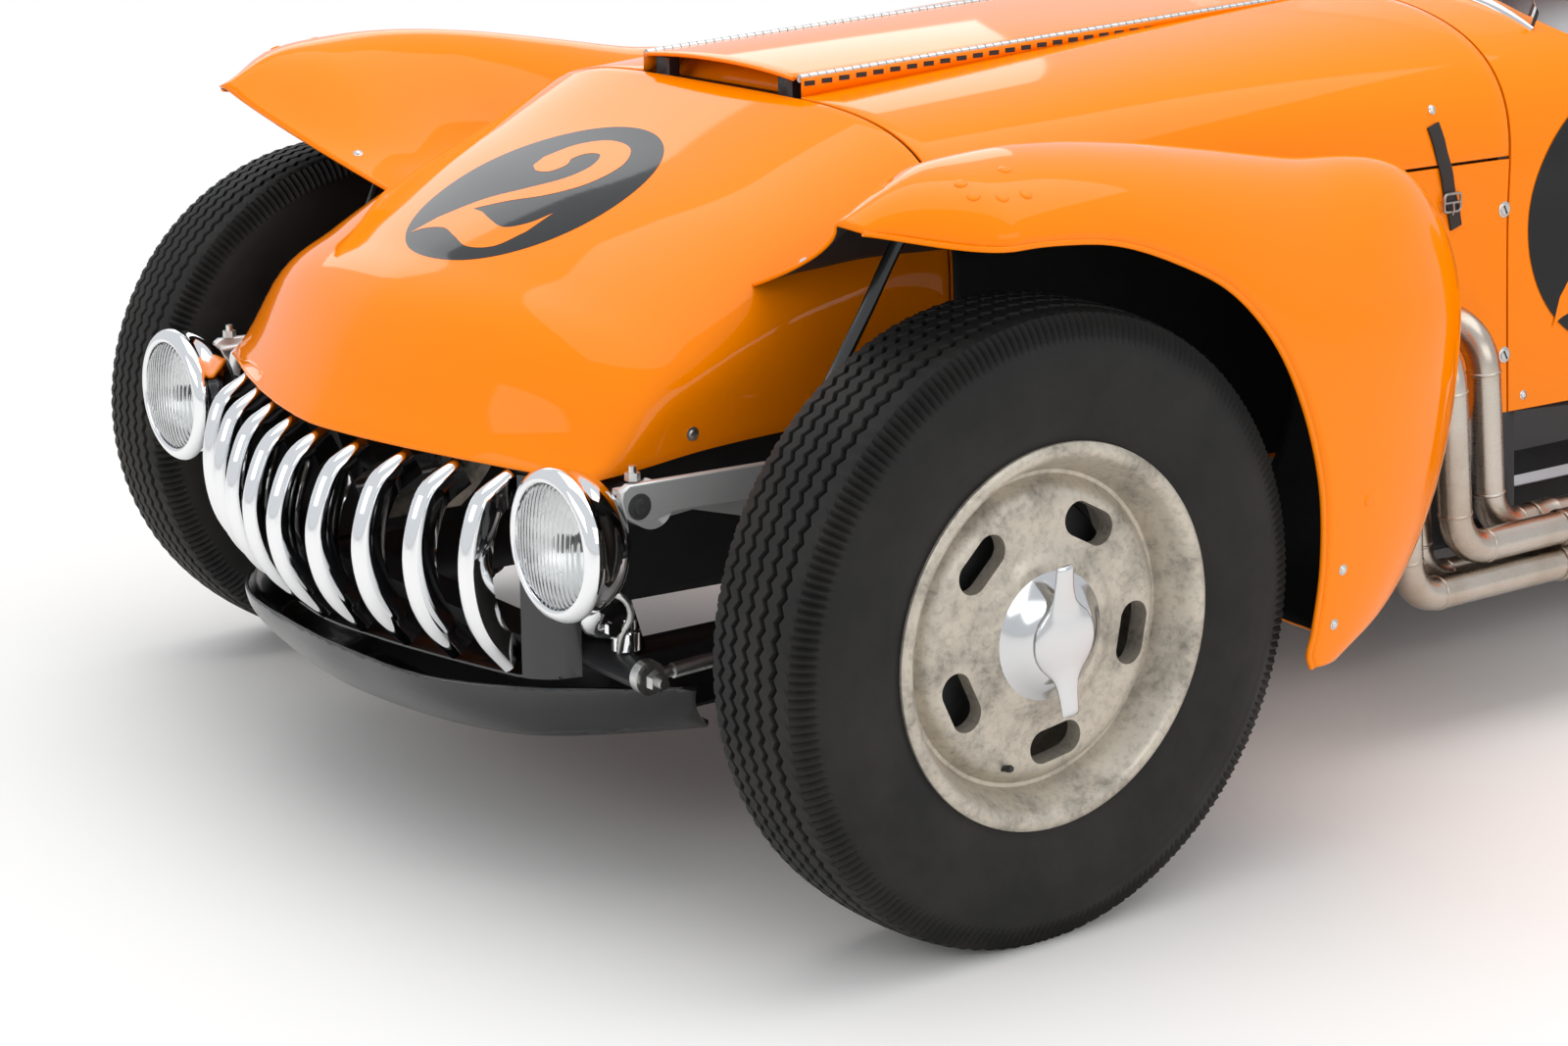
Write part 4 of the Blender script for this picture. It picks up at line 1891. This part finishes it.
class NoseSurface:
    """Lays flat artwork on the nose: right is the car's left, up is rearwards."""
    centre = (1422, 0)
    slope = 0.36

    def lay(self, a, b, lift):
        x = self.centre[0] - b * math.cos(math.atan(self.slope))
        y = a
        z = self.height(x, y)
        out = Vector((z - self.height(x + 2, y), self.height(x, y - 1) - self.height(x, y + 1), 2))
        out = Vector((out.x / 2, out.y / 2, 1)).normalized()
        return metres(x, y, z) + out * lift * MM

    def height(self, x, y):
        low, high = x - 140, x + 10
        for _ in range(26):
            middle = (low + high) / 2
            rib = rib_at(min(middle, NOSE_FRONT), NOSE_RIBS)
            at = rib[1] - (rib[1] - rib[0]) * (min(abs(y), rib[3]) / rib[3]) ** 1.5
            if at < x:
                low = middle
            else:
                high = middle
        rib = rib_at(min(low, NOSE_FRONT), NOSE_RIBS)
        share = max(0.0, 1 - (abs(y) / rib[3]) ** rib[6])
        return rib[4] + (rib[2] - rib[4]) * share ** (1 / rib[6])


class SideSurface:
    """Lays flat artwork on one side of the body."""

    def __init__(self, side):
        self.side = side

    def lay(self, a, b, lift):
        x = -38 - self.side * a
        z = 644 + b
        y = body_half_width(x, z, BODY_RIBS) + lift
        return metres(x, self.side * y, z)


def number_outline():
    """Outline of the figure two, as one closed loop of bends, 200 high about its middle."""
    upper = [(-58, 52), (-44, 84), (-10, 102), (34, 96), (62, 66), (60, 26), (34, -6), (-4, -30),
             (-34, -52)]
    base_top = [(-14, -54), (14, -62), (44, -66), (66, -50), (76, -28)]
    base_low = [(78, -62), (66, -92), (34, -104), (-2, -96), (-34, -88), (-62, -94), (-74, -104)]
    inner = [(-66, -74), (-40, -34), (-6, -4), (20, 24), (26, 52), (12, 74), (-8, 72), (-16, 58), (-8, 46),
             (-14, 30), (-34, 26), (-52, 34)]
    return (smooth_loop(upper, 5) + smooth_loop(base_top, 4) + smooth_loop(base_low, 5)
            + smooth_loop(inner, 5))


def smooth_loop(points, each):
    count = (len(points) - 1) * each
    return [tuple(spline_at([(*p, 0) for p in points], i / count))[:2] for i in range(count + 1)]


DECAL_CUTS = (-0.013, -0.017)


def number_decal(tag, surface, radius, body, black, orange, keep=None, proud=0.0, wide=1.0):
    """Disc and figure as two thin coats of paint that follow the panel."""
    figure = [(x * wide * radius / 132, y * radius / 132) for x, y in number_outline()]
    for name, outline, lift, material in (("roundel", round_outline(radius, 96), 0.25, black),
                                          ("number", figure, 0.5, orange)):
        bm = bmesh.new()
        verts = [bmesh.ops.create_vert(bm, co=(a, b, 0))["vert"][0] for a, b in outline]
        edges = [bmesh.ops.contextual_create(bm, geom=[p, q])["edges"][0]
                 for p, q in zip(verts, verts[1:] + verts[:1])]
        bmesh.ops.triangle_fill(bm, edges=edges, use_beauty=True)
        step = 14
        for i in range(-int(radius / step) - 1, int(radius / step) + 2):
            for normal, co in (((1, 0, 0), (i * step, 0, 0)), ((0, 1, 0), (0, i * step, 0))):
                geom = bm.verts[:] + bm.edges[:] + bm.faces[:]
                bmesh.ops.bisect_plane(bm, geom=geom, dist=1e-4, plane_co=co, plane_no=normal)
        for v in bm.verts:
            v.co = surface.lay(v.co.x, v.co.y, lift + proud)
        if keep:
            cut = DECAL_CUTS[0] if keep(0) else DECAL_CUTS[1]
            geom = bm.verts[:] + bm.edges[:] + bm.faces[:]
            bmesh.ops.bisect_plane(bm, geom=geom, dist=1e-6, plane_co=(cut, 0, 0), plane_no=(1, 0, 0),
                                   clear_outer=not keep(0), clear_inner=keep(0))
        if not bm.faces:
            bm.free()
            continue
        bmesh.ops.remove_doubles(bm, verts=bm.verts[:], dist=1e-6)
        faces = bm.faces[:]
        face_away(bm, faces, lambda f: Vector((f.calc_center_median().x, 0, 0.5)))
        add_piece(name + "_" + tag, bm, body, material, tidy=False, angle=60)


# ---- cockpit ---------------------------------------------------------------------------------
WHEEL_CENTRE = Vector((-0.215, 0.262, 0.800))
WHEEL_RIM_RADIUS = 0.190


def steering_axis():
    return (metres(-215, 262, 800) - metres(1215, 220, 445)).normalized()


class CAR_OT_cockpit(bpy.types.Operator):
    """Make the windscreen, dashboard, dials and steering wheel"""
    bl_idname = "racing_car.cockpit"
    bl_label = "Cockpit"

    def execute(self, context):
        self.windscreen()
        copy_piece("dash_panel", "dashboard", CAR, FINISHES["black_enamel"], bevel=0.001)
        for y, top in ((-200, 1.0), (-95, 0.3), (0, 1.7), (95, 2.4), (370, 0.8)):
            self.gauge("gauge_%d" % (200 + y), y, top)
        self.steering_wheel()
        return {"FINISHED"}

    def windscreen(self):
        """Low curved screen in a polished strip, with its own rounded top corners."""
        bm = bmesh.new()

        def place(u, v):
            y = lerp(-398, 398, u)
            base = Vector((99 - 44 * (y / 400) ** 2, y, body_height(60, y) - 3))
            corner = smooth_step(1.0, 0.80, abs(y) / 400)
            height = 145 * (0.18 + 0.82 * corner)
            top = base + Vector((-70 * height / 150, 0, height))
            p = base.lerp(top, v)
            return metres(p.x, p.y, p.z)

        mapped_grid(bm, 64, 10, place)
        face_away(bm, bm.faces[:], lambda f: Vector((-0.5, 0, 0.8)))
        obj = add_piece("screen_pane", bm, CAR, FINISHES["clear_screen"], ("windscreen",),
                        angle=60, tidy=False)
        thicken(obj, 0.004)
        bm = bmesh.new()
        path = [place(i / 48, 0.04) for i in range(49)]
        sweep(bm, path, box_outline(0.007, 0.012, 0.002, 2), up=Vector((-0.42, 0, 0.9)))
        add_piece("screen_strip", bm, CAR, FINISHES["polished_aluminium"], angle=50)

    def gauge(self, name, y, turn):
        centre = metres(75, y, 820)
        axis = (-1, 0, 0)
        bm = bmesh.new()
        ring = [(36, 0), (36, 5), (37.2, 6.6), (39.4, 6.6), (40, 5), (40, 0)]
        lathe(bm, ring, centre, axis, 48, closed=True)
        add_piece(name + "_bezel", bm, CAR, FINISHES["polished_chrome"], angle=40)
        bm = bmesh.new()
        lathe(bm, [(0.0001, 2.4), (36.4, 2.4), (36.4, 0.2)], centre, axis, 40)
        add_piece(name + "_face", bm, CAR, FINISHES["dial_black"], angle=40)
        bm = bmesh.new()
        for i in range(21):
            a = math.radians(-135 + 13.5 * i)
            long = i % 5 == 0
            self.mark(bm, centre, a, 30.5 if long else 31.8, 5.6 if long else 3.0, 1.3 if long else 0.7)
        self.mark(bm, centre, turn - 1.2, 13, 30, 1.6)
        add_piece(name + "_marks", bm, CAR, FINISHES["dial_cream"], angle=30)

    def mark(self, bm, centre, angle, radius, length, width):
        place = (Matrix.Translation(centre + Vector((-0.0030, 0, 0))) @ Matrix.Rotation(angle, 4, "X")
                 @ Matrix.Translation((0, 0, radius * MM)))
        add_box(bm, place, 0.0006, width * MM, length * MM)

    def steering_wheel(self):
        axis = steering_axis()
        side = Vector((0, 1, 0)).cross(axis).normalized()
        level = axis.cross(side).normalized()
        up = side if side.z > 0 else -side
        bm = bmesh.new()
        angles = [2 * math.pi * i / 20 for i in range(20)]
        grip = [(WHEEL_RIM_RADIUS + 0.013 * math.cos(a), 0.0115 * math.sin(a)) for a in angles]
        turned(bm, grip, WHEEL_CENTRE, axis, 96, closed=True)
        for i in range(30):
            a = 2 * math.pi * i / 30
            out = level * math.cos(a) + up * math.sin(a)
            here = WHEEL_CENTRE + out * (WHEEL_RIM_RADIUS - 0.012) - axis * 0.004
            made = bmesh.ops.create_uvsphere(bm, u_segments=10, v_segments=6, radius=0.007)
            bmesh.ops.transform(bm, matrix=Matrix.Translation(here), verts=made["verts"])
        add_piece("wheel_grip", bm, "hand_wheel", FINISHES["varnished_wood"],
                  ("steering_wheel",), angle=50)
        bm = bmesh.new()
        hub = [(0.0001, -22), (26, -22), (30, -18), (30, -6), (40, -3), (40, 3), (16, 5), (14, 12),
               (0.0001, 13)]
        lathe(bm, hub, WHEEL_CENTRE - axis * 0.02, axis, 40)
        for degrees in (0, 180, 270):
            a = math.radians(degrees)
            out = level * math.cos(a) + up * math.sin(a)
            path = [WHEEL_CENTRE - axis * 0.02 + out * 0.03, WHEEL_CENTRE - axis * 0.017 + out * 0.09,
                    WHEEL_CENTRE - axis * 0.006 + out * 0.15, WHEEL_CENTRE + out * 0.188]
            fine = [spline_at(path, i / 16) for i in range(17)]
            sweep(bm, fine, box_outline(0.030, 0.0034, 0.0012, 2), up=axis)
        add_piece("wheel_spokes", bm, "hand_wheel", FINISHES["polished_aluminium"], angle=40)


# ---- seats -----------------------------------------------------------------------------------
class CAR_OT_seats(bpy.types.Operator):
    """Make the two leather bucket seats with sewn flutes and piping"""
    bl_idname = "racing_car.seats"
    bl_label = "Seats"

    def execute(self, context):
        for side, tag in ((1, "left"), (-1, "right")):
            self.cushion(side, tag)
        return {"FINISHED"}

    def cushion(self, side, tag):
        """Base and backrest pads, blown up gently by the cloth solver."""
        low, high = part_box("seats")
        middle = side * 0.280
        wide = 0.163
        base = bmesh.new()
        self.pad(base, [Vector((high.x - 0.012, 0, low.z + 0.075)),
                        Vector((low.x + 0.075, 0, low.z + 0.050))], wide, 0.078, middle)
        back = bmesh.new()
        self.pad(back, [Vector((low.x + 0.175, 0, low.z + 0.130)),
                        Vector((low.x + 0.075, 0, high.z - 0.020))], wide, 0.062, middle)
        for name, bm in (("seat_base_" + tag, base), ("seat_back_" + tag, back)):
            pad = add_piece(name, bm, CAR, FINISHES["black_leather"], ("seats",), angle=180,
                            tidy=True)
            swell(pad)

    def pad(self, bm, ends, half, thick, middle):
        """Crowned pad between two ends, pulled in along its sewn flutes."""
        start, end = ends
        along = end - start
        up = along.cross(Vector((0, 1, 0))).normalized()
        if up.z < 0 and abs(up.z) > abs(up.x):
            up = -up
        if abs(up.x) > abs(up.z) and up.x < 0:
            up = -up
        bmesh.ops.create_cube(bm, size=2)
        bmesh.ops.subdivide_edges(bm, edges=bm.edges[:], cuts=23, use_grid_fill=True)
        for v in bm.verts:
            a, b, c = v.co
            soft = (1 - 0.16 * b**6) * (1 - 0.16 * a**6)
            flute = 1 - 0.10 * (0.5 + 0.5 * math.cos(2 * math.pi * b * 3.5)) ** 6 * (1 if c > 0 else 0)
            crown = (1 - 0.25 * (a * a + b * b) / 2) * flute
            p = start + along * (0.5 + 0.5 * a * (1 - 0.03 * b**4))
            p = p + up * (c * thick * 0.5 * crown * soft)
            v.co = Vector((p.x, middle + b * half * (1 - 0.04 * a**6) * (1 - 0.05 * c**4), p.z))


SWELL_LIMIT = 0.009
SWELL_FRAMES = 16


def swell(obj):
    """Voxel remesh, inflate with the cloth solver, cap the movement and keep the result."""
    scene = bpy.context.scene
    mod = obj.modifiers.new("even", "REMESH")
    mod.mode = "VOXEL"
    mod.voxel_size = 0.0065
    bake_modifiers(obj)
    before = [v.co.copy() for v in obj.data.vertices]
    cloth = obj.modifiers.new("cloth", "CLOTH")
    cloth.settings.use_pressure = True
    cloth.settings.uniform_pressure_force = 3.0
    cloth.settings.effector_weights.gravity = 0
    cloth.settings.quality = 5
    cloth.point_cache.frame_start = 1
    cloth.point_cache.frame_end = SWELL_FRAMES
    for frame_number in range(1, SWELL_FRAMES + 1):
        scene.frame_set(frame_number)
    bake_modifiers(obj)
    for v, old in zip(obj.data.vertices, before):
        move = v.co - old
        if move.length > SWELL_LIMIT:
            v.co = old + move.normalized() * SWELL_LIMIT
    scene.frame_set(1)
    obj.data.materials.clear()
    obj.data.materials.append(FINISHES["black_leather"])
    shade(obj, 180)


# ---- tail ------------------------------------------------------------------------------------
class CAR_OT_tail(bpy.types.Operator):
    """Make the tail lamps and the fuel filler"""
    bl_idname = "racing_car.tail"
    bl_label = "Tail"

    def execute(self, context):
        centre = metres(-1810, 190, 530)
        bm = bmesh.new()
        ring = [(30, 0), (30, 8), (31.5, 10), (34.5, 10.5), (37, 8.5), (38, 4), (38, 0)]
        lathe(bm, ring, centre, (-1, 0, 0), 48, closed=True)
        add_pair("tail_lamp_rim", bm, FINISHES["polished_chrome"], angle=40)
        bm = bmesh.new()
        lens = [(0.0001, 17.6), (10, 17.2), (20, 15.2), (27, 11.6), (30.2, 7), (30.2, 1), (28, 1), (27, 5),
                (20, 9), (0.0001, 11)]
        lathe(bm, lens, centre, (-1, 0, 0), 48)
        add_pair("tail_lamp_glass", bm, FINISHES["red_glass"], ("tail_lamps",), angle=40)
        low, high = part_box("filler_cap")
        middle = (low + high) / 2
        bm = bmesh.new()
        outline = [(56, 0), (58, 2), (58, 8), (54, 10), (50, 12), (50, 16), (47, 24), (38, 30), (20, 34),
                   (0.0001, 35.5)]
        lathe(bm, outline, Vector((middle.x, middle.y, low.z)), (0, 0, 1), 64)
        for angle in (0.4, 0.4 + math.pi):
            place = (Matrix.Translation(Vector((middle.x, middle.y, low.z + 0.016)))
                     @ Matrix.Rotation(angle, 4, "Z")
                     @ Matrix.Translation((0.050, 0, 0)))
            add_box(bm, place, 0.014, 0.018, 0.012)
        add_piece("filler_cap_turned", bm, CAR, FINISHES["polished_aluminium"],
                  ("filler_cap",), angle=35)
        return {"FINISHED"}


# ---- stage -----------------------------------------------------------------------------------
class CAR_OT_stage(bpy.types.Operator):
    """Set up the floor, background, lights and camera"""
    bl_idname = "racing_car.stage"
    bl_label = "Stage"

    def execute(self, context):
        self.floor()
        self.world(context.scene)
        self.lights()
        self.camera(context.scene)
        context.scene.view_settings.view_transform = "Standard"
        return {"FINISHED"}

    def floor(self):
        bm = bmesh.new()
        bmesh.ops.create_grid(bm, x_segments=2, y_segments=2, size=14)
        obj = make_object("studio_floor", bm)
        material = bpy.data.materials.new("studio_floor_finish")
        material.use_nodes = True
        tree = material.node_tree
        shader = tree.nodes["Principled BSDF"]
        shader.inputs["Base Color"].default_value = (0.92, 0.895, 0.865, 1)
        shader.inputs["Roughness"].default_value = 0.8
        out = tree.nodes["Material Output"]
        seen = tree.nodes.new("ShaderNodeEmission")
        seen.inputs["Color"].default_value = (1, 1, 1, 1)
        path = tree.nodes.new("ShaderNodeLightPath")
        place = tree.nodes.new("ShaderNodeTexCoord")
        span = tree.nodes.new("ShaderNodeVectorMath")
        span.operation = "LENGTH"
        fade = tree.nodes.new("ShaderNodeMapRange")
        fade.interpolation_type = "SMOOTHSTEP"
        fade.inputs["From Min"].default_value = 1.5
        fade.inputs["From Max"].default_value = 3.4
        both = tree.nodes.new("ShaderNodeMath")
        both.operation = "MULTIPLY"
        mix = tree.nodes.new("ShaderNodeMixShader")
        tree.links.new(place.outputs["Object"], span.inputs[0])
        tree.links.new(span.outputs["Value"], fade.inputs["Value"])
        tree.links.new(fade.outputs["Result"], both.inputs[0])
        tree.links.new(path.outputs["Is Camera Ray"], both.inputs[1])
        tree.links.new(both.outputs[0], mix.inputs["Fac"])
        tree.links.new(shader.outputs[0], mix.inputs[1])
        tree.links.new(seen.outputs[0], mix.inputs[2])
        tree.links.new(mix.outputs[0], out.inputs["Surface"])
        obj.data.materials.append(material)

    def world(self, scene):
        world = bpy.data.worlds.new("studio_world")
        scene.world = world
        world.use_nodes = True
        tree = world.node_tree
        tree.nodes.clear()
        out = tree.nodes.new("ShaderNodeOutputWorld")
        seen = tree.nodes.new("ShaderNodeBackground")
        lit = tree.nodes.new("ShaderNodeBackground")
        mix = tree.nodes.new("ShaderNodeMixShader")
        path = tree.nodes.new("ShaderNodeLightPath")
        seen.inputs["Color"].default_value = (1, 1, 1, 1)
        lit.inputs["Color"].default_value = (0.93, 0.96, 1.0, 1)
        lit.inputs["Strength"].default_value = 0.8
        tree.links.new(path.outputs["Is Camera Ray"], mix.inputs["Fac"])
        tree.links.new(lit.outputs[0], mix.inputs[1])
        tree.links.new(seen.outputs[0], mix.inputs[2])
        tree.links.new(mix.outputs[0], out.inputs["Surface"])

    def lights(self):
        table = (
            ("overhead_bank", (0.2, 0.2, 4.2), (0, 0, 0.4), 6.0, 4.0, 110),
            ("side_bank", (0.6, 5.4, 2.4), (0.4, 0, 0.5), 4.6, 2.0, 44),
            ("nose_bank", (6.2, 0.2, 2.4), (1.0, 0, 0.5), 4.0, 1.8, 38),
            ("far_bank", (-1.0, -4.6, 2.8), (0, 0, 0.5), 4.0, 2.0, 30))
        for name, place, aim, wide, deep, power in table:
            light = bpy.data.lights.new(name, "AREA")
            light.shape = "RECTANGLE"
            light.size = wide
            light.size_y = deep
            light.energy = power
            obj = bpy.data.objects.new(name, light)
            obj.location = place
            obj.rotation_euler = (Vector(aim) - Vector(place)).to_track_quat("-Z", "Y").to_euler()
            bpy.context.scene.collection.objects.link(obj)

    def camera(self, scene):
        data = bpy.data.cameras.new("studio_camera")
        data.lens = 73.66
        data.sensor_width = 36
        obj = bpy.data.objects.new("studio_camera", data)
        turn, tilt = math.radians(53.7), math.radians(15.2)
        forward = Vector((-math.cos(turn) * math.cos(tilt), -math.sin(turn) * math.cos(tilt),
                          -math.sin(tilt)))
        level = forward.to_track_quat("-Z", "Y").to_matrix().to_4x4()
        roll = Matrix.Rotation(math.radians(-0.3), 4, "Z")
        obj.matrix_world = Matrix.Translation((3.5073, 3.3572, 1.4062)) @ level @ roll
        scene.collection.objects.link(obj)
        scene.camera = obj


# ---- panel and registration ------------------------------------------------------------------
OPERATORS = (
    CAR_OT_nose, CAR_OT_hood, CAR_OT_body, CAR_OT_fenders, CAR_OT_tyres, CAR_OT_wheels, CAR_OT_grille,
    CAR_OT_headlamps, CAR_OT_chassis, CAR_OT_exhausts, CAR_OT_fasteners, CAR_OT_cockpit, CAR_OT_seats,
    CAR_OT_tail, CAR_OT_stage)


class CAR_PT_panel(bpy.types.Panel):
    """Lists the pieces of the racing car"""
    bl_idname = "CAR_PT_panel"
    bl_label = "Racing car"
    bl_space_type = "VIEW_3D"
    bl_region_type = "UI"
    bl_category = "Racing car"

    def draw(self, context):
        paint, sizes = context.scene.racing_paint, context.scene.racing_sizes
        for group in (paint, sizes):
            for name in group.__annotations__:
                self.layout.prop(group, name)
        for operator in OPERATORS:
            self.layout.operator(operator.bl_idname)


CLASSES = (RacingCarPaint, RacingCarSizes) + OPERATORS + (CAR_PT_panel,)


def register():
    for cls in CLASSES:
        bpy.utils.register_class(cls)
    bpy.types.Scene.racing_paint = PointerProperty(type=RacingCarPaint)
    bpy.types.Scene.racing_sizes = PointerProperty(type=RacingCarSizes)


def unregister():
    del bpy.types.Scene.racing_sizes
    del bpy.types.Scene.racing_paint
    for cls in reversed(CLASSES):
        bpy.utils.unregister_class(cls)


def main():
    register()
    build_groups()
    build_finishes()
    for operator in OPERATORS:
        group, name = operator.bl_idname.split(".")
        getattr(getattr(bpy.ops, group), name)()


if __name__ == "__main__":
    main()
